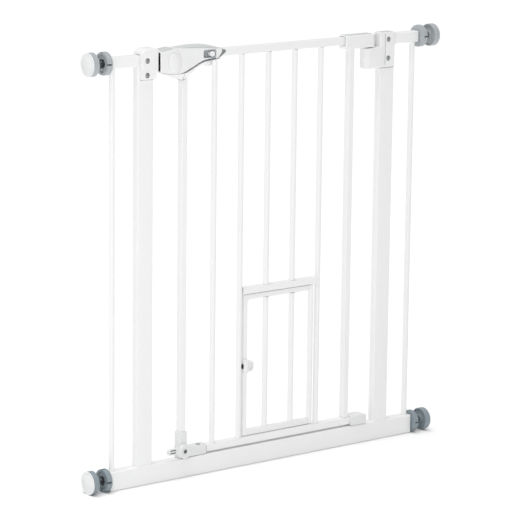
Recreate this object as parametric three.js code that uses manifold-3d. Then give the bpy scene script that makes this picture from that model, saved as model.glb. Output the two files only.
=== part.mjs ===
// Pressure-fit pet gate: a U-shaped tube frame clamped between two walls by four screw
// pads, a lift-and-swing door with a slide latch, and a small latched cat door in it.
// Millimetres. +X runs along the gate towards the hinge side, +Y goes away from the front,
// +Z is up, and the origin is on the floor at the middle of the base tube.

import * as THREE from 'three';
import { mergeVertices } from 'three/addons/utils/BufferGeometryUtils.js';
import Module from 'manifold-3d';

const wasm = await Module();
wasm.setup();

// ---------------------------------------------------------------- driving dimensions

const GAP = 0.3; // between pieces that are welded, pressed or rest on each other

const BASE = { halfLength: 341, height: 35, depth: 20, wall: 1.5, corner: 2 };
const POST = { centre: 268.1, width: 33, depth: 15, wall: 1.2, corner: 1.5, top: 760 };
const ARM = { height: 20, depth: 15, wall: 1.2, corner: 1.5 };
const SIDE_BAR = { centre: 332.8, radius: 5, wall: 1 };

const CLAMP = { upperHeight: 750, lowerHeight: 20.5 };
const PLUG = { plate: 2, insert: 20, bore: 5.4 };
const WHEEL = { inner: 2.7, thickness: 10, radius: 20.3, bore: 5.4, hub: 9, hubLength: 1.8 };
const WHEEL_NOTCH = { count: 4, halfWidth: 1.9, depth: 5 };
const SPINDLE = { inner: -41, outer: 33, radius: 5 };
const CUP = { inner: 27.4, outer: 38, boss: 8.5, back: 18.6, rim: 20.5, socket: 5.3 };
const PAD = { thickness: 4.2, radius: 20.2 };

const DOOR = { left: -190.5, right: 192.5, bottom: 38, top: 759.7, depth: 13 };
const DOOR_TUBE = { railHeight: 14, stileWidth: 12, wall: 1.2, corner: 1.7 };
const RAIL_RIGHT = 214; // both rails run past the hinge stile into the hinge mouldings
const BAR = { pitch: 59, middle: 1.5, radius: 5, wall: 1 };
const LINTEL = { bottom: 314.3, height: 13, depth: 12 };

const HINGE_X = 225.5;
const HINGE_BODY = { radius: 14.5, right: 256, bottom: 699, top: 737.2, floor: 3, bore: 10.5 };
const HINGE_SLEEVE = { left: 249.6, right: 283.5, halfDepth: 9.8, top: 763 };
const HINGE_WEB = { left: 240.5, front: 5, top: 759 };
const HINGE_GROOVE = { x: 260, width: 0.8, depth: 0.8, bottom: 712, top: 758 };
const HINGE_PIN = { radius: 5, bottom: 704, top: 755, collar: 8.5, collarBottom: 722, collarTop: 726 };
const HINGE_CAP = { left: 169, right: 233.8, halfDepth: 11.3, bottom: 738, top: 762.5, corner: 5 };
const HINGE_SPRING = { coil: 7.6, wire: 0.9, bottom: 705, top: 720, turns: 5 };
const SHOE = { left: 196.5, right: 231.5, halfDepth: 12, bottom: 36, top: 54.5 };
const SHOE_PIN = { radius: 4, bottom: 20, hole: 4.5 };

const STRIKE = { left: -280, right: -247.6, lowerRight: -249.3, halfDepth: 13.2 };
const STRIKE_HEIGHTS = { bottom: 717.5, step: 729, top: 770.5 };
const STRIKE_GROOVE = { floor: -251, bottom: 739.3, top: 757 };
const SCREW = { head: 4.2, recess: 4.9, recessDepth: 2.6, shank: 1.7, hole: 2.1, length: 8 };
const STRIKE_SCREWS = { x: -268, heights: [750, 725] };
const HINGE_SCREWS = { x: 268.7, heights: [750, 715.5] };

const HANDLE = { halfDepth: 16, wall: 2.2, nose: -242.8, tail: -101 };
const HANDLE_BOSS = { x: -213.5, z: 745, halfWidth: 14.5, halfHeight: 20, front: 18.4 };
const HANDLE_DISC = { halfWidth: 11.5, halfHeight: 16.3, front: 19.8 };
const BOLT = { tip: -250.3, back: -199.5, halfDepth: 6.5, bottom: 740, top: 750 };
const BOLT_POCKET = { left: -206.1, right: -201.9, halfDepth: 3.6, depth: 5 };
const SLIDE = { left: -206, right: -108, halfDepth: 12.5, floor: 766.8, crown: 770.6 };
const SLIDE_NECK = { left: -205.5, right: -202.5, halfDepth: 3 };
const SLIDE_TRAVEL = 8;
const BUTTON = { x: -133.5, z: 752.8, radius: 4.7, back: -9, front: -18 };
const BUTTON_TRAVEL = 12;

const FOOT = { stileTop: 83, halfDepth: 8.7, wall: 2, right: -134, bottom: 36, top: 54 };
const LEVER = { x: -184.5, z: 48.8, radius: 13, back: 9.1, front: 15.5, boss: 5, bossFront: 15.2 };
const LEVER_TAB = { reach: 37.5, halfHeight: 5.6, lift: 3, front: 13.6 };
const LEVER_SLOT = { inner: 19, outer: 31, halfHeight: 0.9, pitch: 4.4 };

const CAT_HINGE = { x: 104.5, radius: 4.9, pin: 2.5, hole: 3, reach: 4.5 };
const CAT_FRAME = { left: -49.5, bottom: 53.5, top: 312.7, halfDepth: 3.5 };
const CAT_SECTION = { stile: 8, topRail: 8.8, bottomRail: 11, innerCorner: 6 };
const CAT_BARS = [1.5, 60.5];
const CAT_LATCH = { z: 182, bottom: 169, top: 195, front: 7.2 };
const CAT_BOLT = { tip: -55, radius: 2.6, hole: 3.1, keeperFloor: -55.6, keeperHalfHeight: 3.4 };
const CAT_KNOB = { left: -41, right: -30, front: 8.4, back: 2.6, halfHeight: 10.2 };

const ROUND_SIDES = 16;

// ---------------------------------------------------------------- materials

function paintedSteel() {
  return new THREE.MeshStandardMaterial({ color: 0xf1f2f2, roughness: 0.42, metalness: 0 });
}

function whitePlastic() {
  return new THREE.MeshStandardMaterial({ color: 0xeceeee, roughness: 0.5, metalness: 0 });
}

function greyPlastic() {
  return new THREE.MeshStandardMaterial({ color: 0x9aa2a6, roughness: 0.55, metalness: 0 });
}

function gripPlastic() {
  return new THREE.MeshStandardMaterial({ color: 0xc2c7c9, roughness: 0.7, metalness: 0 });
}

function padRubber() {
  return new THREE.MeshStandardMaterial({ color: 0xd9dcdc, roughness: 0.8, metalness: 0 });
}

function darkSteel() {
  return new THREE.MeshStandardMaterial({ color: 0x4a4e52, roughness: 0.35, metalness: 0.9 });
}

// ---------------------------------------------------------------- geometry helpers

function toSolid(geometry) {
  const bare = geometry.index ? geometry.toNonIndexed() : geometry.clone();
  bare.deleteAttribute('normal');
  bare.deleteAttribute('uv');
  const merged = mergeVertices(bare, 1e-4);
  const vertProperties = new Float32Array(merged.attributes.position.array);
  const triVerts = new Uint32Array(merged.index.array);
  return new wasm.Manifold(new wasm.Mesh({ numProp: 3, vertProperties, triVerts }));
}

function toGeometry(solid) {
  const mesh = solid.getMesh();
  const geometry = new THREE.BufferGeometry();
  geometry.setAttribute('position', new THREE.BufferAttribute(mesh.vertProperties, 3));
  geometry.setIndex(new THREE.BufferAttribute(mesh.triVerts, 1));
  return geometry;
}

function join(...geometries) {
  return toGeometry(geometries.map(toSolid).reduce((whole, part) => whole.add(part)));
}

function cut(geometry, ...tools) {
  return toGeometry(tools.map(toSolid).reduce((whole, tool) => whole.subtract(tool), toSolid(geometry)));
}

function block(x0, x1, y0, y1, z0, z1) {
  const geometry = new THREE.BoxGeometry(x1 - x0, y1 - y0, z1 - z0);
  return geometry.translate((x0 + x1) / 2, (y0 + y1) / 2, (z0 + z1) / 2);
}

function extrude(shape, depth, curveSegments) {
  return new THREE.ExtrudeGeometry(shape, { depth, bevelEnabled: false, steps: 1, curveSegments });
}

// A closed outline in X and Z, given thickness from y0 to y1.
function sideProfile(shape, y0, y1, curveSegments = 4) {
  return extrude(shape, y1 - y0, curveSegments).rotateX(Math.PI / 2).translate(0, y1, 0);
}

// A round rod standing along Z.
function rod(x, y, z0, z1, radius, sides = ROUND_SIDES) {
  const geometry = new THREE.CylinderGeometry(radius, radius, z1 - z0, sides);
  return geometry.rotateX(Math.PI / 2).translate(x, y, (z0 + z1) / 2);
}

// A round rod lying along X.
function rodAlongX(x0, x1, y, z, radius, sides = ROUND_SIDES) {
  const geometry = new THREE.CylinderGeometry(radius, radius, x1 - x0, sides);
  return geometry.rotateZ(Math.PI / 2).translate((x0 + x1) / 2, y, z);
}

// A round rod lying along Y.
function rodAlongY(x, z, y0, y1, radius, sides = ROUND_SIDES) {
  const geometry = new THREE.CylinderGeometry(radius, radius, y1 - y0, sides);
  return geometry.translate(x, (y0 + y1) / 2, z);
}

function roundedRectangle(width, height, radius, target = new THREE.Shape()) {
  const w = width / 2;
  const h = height / 2;
  target.moveTo(-w + radius, -h);
  target.lineTo(w - radius, -h);
  target.absarc(w - radius, -h + radius, radius, -Math.PI / 2, 0, false);
  target.lineTo(w, h - radius);
  target.absarc(w - radius, h - radius, radius, 0, Math.PI / 2, false);
  target.lineTo(-w + radius, h);
  target.absarc(-w + radius, h - radius, radius, Math.PI / 2, Math.PI, false);
  target.lineTo(-w, -h + radius);
  target.absarc(-w + radius, -h + radius, radius, Math.PI, 1.5 * Math.PI, false);
  return target;
}

// The section of a drawn rectangular tube, open along its middle.
function tubeSection(width, height, wall, corner) {
  const shape = roundedRectangle(width, height, corner);
  const w = width / 2 - wall;
  const h = height / 2 - wall;
  const hole = new THREE.Path();
  hole.moveTo(-w, -h);
  hole.lineTo(-w, h);
  hole.lineTo(w, h);
  hole.lineTo(w, -h);
  hole.closePath();
  shape.holes.push(hole);
  return shape;
}

function rectTubeAlongX(x0, x1, z, height, depth, wall, corner) {
  const section = tubeSection(height, depth, wall, corner);
  return extrude(section, x1 - x0, 2).rotateY(Math.PI / 2).translate(x0, 0, z);
}

function rectTubeAlongZ(x, z0, z1, width, depth, wall, corner) {
  return extrude(tubeSection(width, depth, wall, corner), z1 - z0, 2).translate(x, 0, z0);
}

function roundTube(x, z0, z1, radius, wall) {
  const shape = new THREE.Shape();
  shape.absarc(0, 0, radius, 0, 2 * Math.PI, false);
  const hole = new THREE.Path();
  hole.absarc(0, 0, radius - wall, 0, 2 * Math.PI, true);
  shape.holes.push(hole);
  return extrude(shape, z1 - z0, ROUND_SIDES).translate(x, 0, z0);
}

function outline(points) {
  return new THREE.Shape(points.map(([x, z]) => new THREE.Vector2(x, z)));
}

// The same outline, drawn inside itself by a constant distance (points run clockwise).
function inset(points, distance) {
  const count = points.length;
  const edges = points.map(([x, z], i) => {
    const [nextX, nextZ] = points[(i + 1) % count];
    const length = Math.hypot(nextX - x, nextZ - z);
    const dx = (nextX - x) / length;
    const dz = (nextZ - z) / length;
    return { x: x + dz * distance, z: z - dx * distance, dx, dz };
  });
  return edges.map((edge, i) => {
    const before = edges[(i + count - 1) % count];
    const cross = before.dx * edge.dz - before.dz * edge.dx;
    const t = ((edge.x - before.x) * edge.dz - (edge.z - before.z) * edge.dx) / cross;
    return [before.x + before.dx * t, before.z + before.dz * t];
  });
}

// A solid turned about the X axis from [radius, x] points, starting and ending on the axis
// or closing on themselves.
function turnedAlongX(points, sides) {
  const profile = points.map(([radius, x]) => new THREE.Vector2(radius, x));
  return new THREE.LatheGeometry(profile, sides).rotateZ(-Math.PI / 2);
}

function piece(name, geometry, material) {
  const mesh = new THREE.Mesh(geometry, material);
  mesh.name = name;
  return mesh;
}

// ---------------------------------------------------------------- fixed frame

function baseTube() {
  const { halfLength, height, depth, wall, corner } = BASE;
  const tube = rectTubeAlongX(-halfLength, halfLength, height / 2, height, depth, wall, corner);
  const pinHole = rod(HINGE_X, 0, height - 2 * wall, height + 1, SHOE_PIN.hole);
  return piece('base_tube', cut(tube, pinHole), paintedSteel());
}

function post(name, side, screws) {
  const { centre, width, depth, wall, corner, top } = POST;
  const tube = rectTubeAlongZ(side * centre, BASE.height + GAP, top, width, depth, wall, corner);
  const holes = screws.heights.map((z) => rodAlongY(screws.x, z, -depth, 0, SCREW.hole, 10));
  return piece(name, cut(tube, ...holes), paintedSteel());
}

function upperArm(name, side) {
  const inner = POST.centre + POST.width / 2 + GAP;
  const start = side > 0 ? inner : -BASE.halfLength;
  const end = side > 0 ? BASE.halfLength : -inner;
  const middle = POST.top - ARM.height / 2;
  const tube = rectTubeAlongX(start, end, middle, ARM.height, ARM.depth, ARM.wall, ARM.corner);
  return piece(name, tube, paintedSteel());
}

function sideBar(name, side) {
  const top = POST.top - ARM.height - GAP;
  const bar = roundTube(side * SIDE_BAR.centre, BASE.height + GAP, top, SIDE_BAR.radius, SIDE_BAR.wall);
  return piece(name, bar, paintedSteel());
}

// A recess for a screw head and the hole for its shank, cut from the front.
function screwSeat(x, z, front) {
  const recess = rodAlongY(x, z, front - 1, front + SCREW.recessDepth, SCREW.recess);
  const hole = rodAlongY(x, z, front, 0, SCREW.hole, 10);
  return [recess, hole];
}

function screw(name, x, z, front) {
  const seat = front + SCREW.recessDepth - GAP;
  const head = rodAlongY(x, z, seat - 1.6, seat, SCREW.head);
  const shank = rodAlongY(x, z, seat - 0.5, seat + SCREW.length, SCREW.shank, 10);
  const slot = block(x - 3, x + 3, seat - 1.7, seat - 0.9, z - 0.5, z + 0.5);
  const crossSlot = block(x - 0.5, x + 0.5, seat - 1.7, seat - 0.9, z - 3, z + 3);
  return piece(name, cut(join(head, shank), slot, crossSlot), darkSteel());
}

function latchStrike() {
  const { left, right, lowerRight, halfDepth } = STRIKE;
  const { bottom, step, top } = STRIKE_HEIGHTS;
  const upper = block(left, right, -halfDepth, halfDepth, step, top);
  const lower = block(left, lowerRight, -halfDepth, halfDepth, bottom, step + 1);
  const postEdge = -POST.centre + POST.width / 2 + GAP;
  const room = POST.depth / 2 + GAP;
  const postRoom = block(left - 1, postEdge, -room, room, bottom - 1, POST.top + GAP);
  const groove = block(
    STRIKE_GROOVE.floor,
    right + 1,
    -halfDepth - 1,
    halfDepth + 1,
    STRIKE_GROOVE.bottom,
    STRIKE_GROOVE.top
  );
  const seats = STRIKE_SCREWS.heights.flatMap((z) => screwSeat(STRIKE_SCREWS.x, z, -halfDepth));
  return piece('latch_strike', cut(join(upper, lower), postRoom, groove, ...seats), whitePlastic());
}

function hingeHousing() {
  const { radius, right, bottom, top, floor, bore } = HINGE_BODY;
  const barrel = rod(HINGE_X, 0, bottom, top, radius, 32);
  const body = block(HINGE_X, right, -radius, radius, bottom, top);
  const { left, right: sleeveRight, halfDepth, top: sleeveTop } = HINGE_SLEEVE;
  const sleeve = block(left, sleeveRight, -halfDepth, halfDepth, bottom, sleeveTop);
  const web = block(HINGE_WEB.left, left + 1, HINGE_WEB.front, halfDepth, top - 1, HINGE_WEB.top);
  const postEdge = POST.centre - POST.width / 2 - GAP;
  const room = POST.depth / 2 + GAP;
  const postRoom = block(postEdge, sleeveRight + 1, -room, room, bottom - 1, POST.top + GAP);
  const pocket = rod(HINGE_X, 0, bottom + floor, top + 1, bore, 24);
  const groove = block(
    HINGE_GROOVE.x,
    HINGE_GROOVE.x + HINGE_GROOVE.width,
    -halfDepth - 1,
    -halfDepth + HINGE_GROOVE.depth,
    HINGE_GROOVE.bottom,
    HINGE_GROOVE.top
  );
  const seats = HINGE_SCREWS.heights.flatMap((z) => screwSeat(HINGE_SCREWS.x, z, -halfDepth));
  const whole = join(barrel, body, sleeve, web);
  return piece('hinge_housing', cut(whole, postRoom, pocket, groove, ...seats), whitePlastic());
}

class Helix extends THREE.Curve {
  constructor({ coil, bottom, top, turns }) {
    super();
    Object.assign(this, { coil, bottom, top, turns });
  }

  getPoint(t, target = new THREE.Vector3()) {
    const angle = 2 * Math.PI * this.turns * t;
    const height = THREE.MathUtils.lerp(this.bottom, this.top, t);
    return target.set(this.coil * Math.cos(angle), this.coil * Math.sin(angle), height);
  }
}

function closingSpring() {
  const wire = new THREE.Shape();
  wire.absarc(0, 0, HINGE_SPRING.wire, 0, 2 * Math.PI, false);
  const geometry = new THREE.ExtrudeGeometry(wire, {
    steps: 12 * HINGE_SPRING.turns,
    curveSegments: 6,
    bevelEnabled: false,
    extrudePath: new Helix(HINGE_SPRING)
  });
  const spring = piece('closing_spring', geometry, darkSteel());
  spring.position.x = HINGE_X;
  return spring;
}

function upperHingePin() {
  const { radius, bottom, top, collar, collarBottom, collarTop } = HINGE_PIN;
  const stem = rod(0, 0, bottom, top, radius, 24);
  const ring = rod(0, 0, collarBottom, collarTop, collar, 24);
  const pin = piece('upper_hinge_pin', join(stem, ring), darkSteel());
  pin.position.x = HINGE_X;
  return pin;
}

// ---------------------------------------------------------------- screw clamps at the four corners
// Each corner is built for the hinge side, with x = 0 at the tube's end and +x towards the wall.

function endPlug(name, height, depth, wall, drop) {
  const plate = block(GAP, GAP + PLUG.plate, -depth / 2, depth / 2, -height / 2, height / 2);
  const room = wall + GAP;
  const insert = block(
    -PLUG.insert,
    GAP + 0.5,
    -depth / 2 + room,
    depth / 2 - room,
    -height / 2 + room,
    height / 2 - room
  );
  const bore = rodAlongX(-PLUG.insert - 1, GAP + PLUG.plate + 1, 0, -drop, PLUG.bore);
  const plug = piece(name, cut(join(plate, insert), bore), greyPlastic());
  plug.position.z = drop;
  return plug;
}

function handWheel(name) {
  const { inner, thickness, radius, bore, hub, hubLength } = WHEEL;
  const disc = rodAlongX(inner, inner + thickness, 0, 0, radius, 32);
  const collar = rodAlongX(inner + thickness - 1, inner + thickness + hubLength, 0, 0, hub, 20);
  const tools = [rodAlongX(inner - 1, inner + thickness + hubLength + 1, 0, 0, bore)];
  for (let i = 0; i < WHEEL_NOTCH.count; i += 1) {
    const notch = block(
      inner - 1,
      inner + thickness + 1,
      -WHEEL_NOTCH.halfWidth,
      WHEEL_NOTCH.halfWidth,
      radius - WHEEL_NOTCH.depth,
      radius + 1
    );
    tools.push(notch.rotateX((2 * Math.PI * i) / WHEEL_NOTCH.count));
  }
  return piece(name, cut(join(disc, collar), ...tools), greyPlastic());
}

function spindle(name) {
  return piece(name, rodAlongX(SPINDLE.inner, SPINDLE.outer, 0, 0, SPINDLE.radius), darkSteel());
}

function padCup(name) {
  const { inner, outer, boss, back, rim, socket } = CUP;
  const floor = SPINDLE.outer + GAP;
  const profile = [
    [0, floor],
    [socket, floor],
    [socket, inner],
    [boss, inner],
    [boss, inner + 5],
    [back, inner + 5.6],
    [rim, outer - 1.5],
    [rim, outer],
    [0, outer]
  ];
  return piece(name, turnedAlongX(profile, 32), greyPlastic());
}

function wallPad(name) {
  const start = CUP.outer + GAP;
  const end = start + PAD.thickness;
  const profile = [
    [0, start],
    [PAD.radius, start],
    [PAD.radius, end - 1],
    [PAD.radius - 1, end],
    [0, end]
  ];
  return piece(name, turnedAlongX(profile, 32), padRubber());
}

function cornerClamp(level, sideName, side) {
  const tag = `${level}_${sideName}`;
  const upper = level === 'upper';
  const height = upper ? ARM.height : BASE.height;
  const depth = upper ? ARM.depth : BASE.depth;
  const wall = upper ? ARM.wall : BASE.wall;
  const axisHeight = upper ? CLAMP.upperHeight : CLAMP.lowerHeight;
  const tubeMiddle = upper ? POST.top - ARM.height / 2 : BASE.height / 2;
  const clamp = new THREE.Group();
  clamp.add(
    endPlug(`end_plug_${tag}`, height, depth, wall, tubeMiddle - axisHeight),
    handWheel(`hand_wheel_${tag}`),
    spindle(`spindle_${tag}`),
    padCup(`pad_cup_${tag}`),
    wallPad(`wall_pad_${tag}`)
  );
  clamp.position.set(side * BASE.halfLength, 0, axisHeight);
  clamp.rotation.z = side > 0 ? 0 : Math.PI;
  return clamp;
}

// ---------------------------------------------------------------- door

const STILE_BOTTOM = DOOR.bottom + DOOR_TUBE.railHeight + GAP;
const STILE_TOP = DOOR.top - DOOR_TUBE.railHeight - GAP;

function doorRail(top) {
  const { railHeight, wall, corner } = DOOR_TUBE;
  const middle = top - railHeight / 2;
  return rectTubeAlongX(DOOR.left, RAIL_RIGHT, middle, railHeight, DOOR.depth, wall, corner);
}

function doorTopRail() {
  return piece('door_top_rail', doorRail(DOOR.top), paintedSteel());
}

function doorBottomRail() {
  const top = DOOR.bottom + DOOR_TUBE.railHeight;
  const pinHole = rod(CAT_HINGE.x, 0, top - 2, top + 1, CAT_HINGE.hole, 12);
  return piece('door_bottom_rail', cut(doorRail(top), pinHole), paintedSteel());
}

function doorStile(name, x) {
  const { stileWidth, wall, corner } = DOOR_TUBE;
  const tube = rectTubeAlongZ(x, STILE_BOTTOM, STILE_TOP, stileWidth, DOOR.depth, wall, corner);
  return piece(name, tube, paintedSteel());
}

function barX(index) {
  return BAR.middle + (index - 3) * BAR.pitch;
}

function doorBar(index) {
  const short = index === 3 || index === 4;
  const bottom = short ? LINTEL.bottom + LINTEL.height + GAP : STILE_BOTTOM;
  const tube = roundTube(barX(index), bottom, STILE_TOP, BAR.radius, BAR.wall);
  if (index !== 2) {
    return piece(`door_bar_${index}`, tube, paintedSteel());
  }
  const { z } = CAT_LATCH;
  const { keeperFloor, keeperHalfHeight: half } = CAT_BOLT;
  const keeper = block(keeperFloor, keeperFloor + 10, -10, 10, z - half, z + half);
  return piece(`door_bar_${index}`, cut(tube, keeper), paintedSteel());
}

function catDoorLintel() {
  const { bottom, height, depth } = LINTEL;
  const left = barX(2) + BAR.radius + GAP;
  const right = barX(5) - BAR.radius - GAP;
  const { wall, corner } = DOOR_TUBE;
  const tube = rectTubeAlongX(left, right, bottom + height / 2, height, depth, wall, corner);
  const pinHole = rod(CAT_HINGE.x, 0, bottom - 1, bottom + 2, CAT_HINGE.hole, 12);
  return piece('cat_door_lintel', cut(tube, pinHole), paintedSteel());
}

// Room for the hinge stile and a rail inside a moulding, with the fitting gap all round.
function railRoom(left, right, bottom) {
  const halfDepth = DOOR.depth / 2 + GAP;
  return block(left, right, -halfDepth, halfDepth, bottom - GAP, bottom + DOOR_TUBE.railHeight + GAP);
}

function stileRoom(x, bottom, top) {
  const halfWidth = DOOR_TUBE.stileWidth / 2 + GAP;
  const halfDepth = DOOR.depth / 2 + GAP;
  return block(x - halfWidth, x + halfWidth, -halfDepth, halfDepth, bottom, top);
}

const LATCH_STILE_X = DOOR.left + DOOR_TUBE.stileWidth / 2;
const HINGE_STILE_X = DOOR.right - DOOR_TUBE.stileWidth / 2;

function hingeCap() {
  const { left, right, halfDepth, bottom, top, corner } = HINGE_CAP;
  const plan = new THREE.Shape();
  plan.moveTo(left, -halfDepth);
  plan.lineTo(right - corner, -halfDepth);
  plan.absarc(right - corner, -halfDepth + corner, corner, -Math.PI / 2, 0, false);
  plan.absarc(right - corner, halfDepth - corner, corner, 0, Math.PI / 2, false);
  plan.lineTo(left, halfDepth);
  plan.closePath();
  const shell = extrude(plan, top - bottom, 5).translate(0, 0, bottom);
  const rail = railRoom(left - 1, RAIL_RIGHT + GAP, DOOR.top - DOOR_TUBE.railHeight);
  const stile = stileRoom(HINGE_STILE_X, bottom - 1, STILE_TOP + 1);
  const bore = rod(HINGE_X, 0, bottom - 1, HINGE_PIN.top + 1, HINGE_PIN.radius + GAP, 24);
  return piece('hinge_cap', cut(shell, rail, stile, bore), whitePlastic());
}

function hingeShoe() {
  const { left, right, halfDepth, bottom, top } = SHOE;
  const body = block(left, right, -halfDepth, halfDepth, bottom, top);
  const pin = rod(HINGE_X, 0, SHOE_PIN.bottom, bottom + 1, SHOE_PIN.radius, 20);
  const rail = railRoom(left - 1, RAIL_RIGHT + GAP, DOOR.bottom);
  return piece('lower_hinge_shoe', cut(join(body, pin), rail), whitePlastic());
}

function cornerFoot() {
  const { stileTop, halfDepth, wall, right, bottom, top } = FOOT;
  const left = DOOR.left - wall - GAP;
  const stileRight = DOOR.left + DOOR_TUBE.stileWidth + wall + GAP;
  const upright = block(left, stileRight, -halfDepth, halfDepth, bottom, stileTop);
  const along = block(left, right, -halfDepth, halfDepth, bottom, top);
  const boss = rodAlongY(LEVER.x, LEVER.z, -LEVER.bossFront, -halfDepth + 1, LEVER.boss);
  const rail = railRoom(DOOR.left - GAP, right + 1, DOOR.bottom);
  const stile = stileRoom(LATCH_STILE_X, STILE_BOTTOM - 1, stileTop + 1);
  return piece('corner_foot', cut(join(upright, along, boss), rail, stile), whitePlastic());
}

function footLever() {
  const disc = rodAlongY(0, 0, -LEVER.front, -LEVER.back, LEVER.radius, 28);
  const { reach, halfHeight, lift, front } = LEVER_TAB;
  const tab = new THREE.Shape();
  tab.moveTo(0, lift - halfHeight);
  tab.lineTo(0, lift + halfHeight);
  tab.lineTo(-reach + halfHeight, lift + halfHeight);
  tab.absarc(-reach + halfHeight, lift, halfHeight, Math.PI / 2, 1.5 * Math.PI, false);
  tab.closePath();
  const plate = sideProfile(tab, -front, -LEVER.back, 8);
  const tools = [rodAlongY(0, 0, -LEVER.front - 1, -LEVER.back + 1, LEVER.boss + GAP)];
  for (const sign of [-1, 1]) {
    const middle = lift + (sign * LEVER_SLOT.pitch) / 2;
    const { inner, outer, halfHeight: half } = LEVER_SLOT;
    tools.push(block(-outer, -inner, -front - 1, -LEVER.back + 1, middle - half, middle + half));
  }
  const lever = piece('foot_lever', cut(join(disc, plate), ...tools), whitePlastic());
  lever.position.set(LEVER.x, 0, LEVER.z);
  return lever;
}

// ---------------------------------------------------------------- handle and latch

// The side outline of both handle shells, clockwise from the bottom of the nose. The top is
// lowered between the nose and the tail, where the release slide fills it up again.
const HANDLE_OUTLINE = [
  [HANDLE.nose, 730],
  [HANDLE.nose, 761],
  [-236, 765],
  [-224, 768.5],
  [SLIDE.left - 2, 770],
  [SLIDE.left - 2, SLIDE.floor - GAP],
  [-146, SLIDE.floor - GAP],
  [-118, 763.5],
  [HANDLE.tail, 761],
  [HANDLE.tail, 744.2],
  [-124, 743.4],
  [-139, 741.6],
  [-154, 736.6],
  [-169, 727.5],
  [-176.5, 722],
  [-176.5, 711.5],
  [-193.5, 710.8],
  [-208, 715],
  [-226, 723]
];

function handleShell(back) {
  const { halfDepth, wall } = HANDLE;
  const half = GAP / 2;
  const shape = outline(HANDLE_OUTLINE);
  const room = outline(inset(HANDLE_OUTLINE, wall));
  const near = back ? half : -halfDepth;
  const far = back ? halfDepth : -half;
  const shell = sideProfile(shape, near, far);
  const cavity = sideProfile(room, back ? half - 1 : -halfDepth + wall, back ? halfDepth - wall : 1 - half);
  const rail = railRoom(DOOR.left - GAP, HANDLE.tail + 1, DOOR.top - DOOR_TUBE.railHeight);
  const stile = stileRoom(LATCH_STILE_X, 700, STILE_TOP);
  const boltRoom = block(
    HANDLE.nose - 1,
    HANDLE.nose + wall + 1,
    -BOLT.halfDepth - 0.5,
    BOLT.halfDepth + 0.5,
    BOLT.bottom - 0.5,
    BOLT.top + 0.5
  );
  const neckRoom = block(
    SLIDE_NECK.left - 0.6,
    SLIDE_NECK.right + SLIDE_TRAVEL + 0.6,
    -SLIDE_NECK.halfDepth - 0.5,
    SLIDE_NECK.halfDepth + 0.5,
    SLIDE.floor - 6,
    SLIDE.crown + 1
  );
  const barRoom = rod(barX(1), 0, STILE_TOP - 6, STILE_TOP + GAP, BAR.radius + GAP);
  return { shell, tools: [cavity, rail, stile, boltRoom, neckRoom, barRoom] };
}

function ellipse(x, z, halfWidth, halfHeight) {
  const shape = new THREE.Shape();
  shape.absellipse(x, z, halfWidth, halfHeight, 0, 2 * Math.PI, false);
  return shape;
}

function handleFrontShell() {
  const { shell, tools } = handleShell(false);
  const { x, z, halfWidth, halfHeight, front } = HANDLE_BOSS;
  const base = -HANDLE.halfDepth + 1;
  const boss = sideProfile(ellipse(x, z, halfWidth, halfHeight), -front, base, 12);
  const disc = ellipse(x, z, HANDLE_DISC.halfWidth, HANDLE_DISC.halfHeight);
  const cover = sideProfile(disc, -HANDLE_DISC.front, base, 12);
  const slotHeight = BUTTON.radius + 0.6;
  const slot = block(
    BUTTON.x - BUTTON_TRAVEL - slotHeight,
    BUTTON.x + slotHeight,
    -HANDLE.halfDepth - 1,
    -HANDLE.halfDepth + HANDLE.wall + 1,
    BUTTON.z - slotHeight,
    BUTTON.z + slotHeight
  );
  return piece('handle_front_shell', cut(join(shell, boss, cover), ...tools, slot), whitePlastic());
}

function handleRearShell() {
  const { shell, tools } = handleShell(true);
  return piece('handle_rear_shell', cut(shell, ...tools), whitePlastic());
}

function latchBolt() {
  const { tip, back, halfDepth, bottom, top } = BOLT;
  const nose = 1.5;
  const plan = new THREE.Shape();
  plan.moveTo(tip, -halfDepth + nose);
  plan.lineTo(tip + nose, -halfDepth);
  plan.lineTo(back, -halfDepth);
  plan.lineTo(back, halfDepth);
  plan.lineTo(tip + nose, halfDepth);
  plan.lineTo(tip, halfDepth - nose);
  plan.closePath();
  const bar = extrude(plan, top - bottom, 1).translate(0, 0, bottom);
  const { left, right, halfDepth: pocketHalf, depth } = BOLT_POCKET;
  const pocket = block(left, right, -pocketHalf, pocketHalf, top - depth, top + 1);
  return piece('latch_bolt', cut(bar, pocket), whitePlastic());
}

function releaseSlide() {
  const { left, right, halfDepth, floor, crown } = SLIDE;
  const pad = outline([
    [left, floor],
    [left, crown - 0.9],
    [-190, crown],
    [-150, crown],
    [-128, crown - 1.4],
    [right, crown - 3.2],
    [right, floor]
  ]);
  const plate = sideProfile(pad, -halfDepth, halfDepth);
  const neckBottom = BOLT.top - BOLT_POCKET.depth + 0.8;
  const { left: neckLeft, right: neckRight, halfDepth: neckHalf } = SLIDE_NECK;
  const neck = block(neckLeft, neckRight, -neckHalf, neckHalf, neckBottom, floor + 1);
  return piece('release_slide', join(plate, neck), gripPlastic());
}

function lockButton() {
  const { x, z, radius, back, front } = BUTTON;
  const knob = rodAlongY(x, z, front, back, radius, 24);
  return piece('lock_button', knob, whitePlastic());
}

// ---------------------------------------------------------------- cat door

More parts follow.
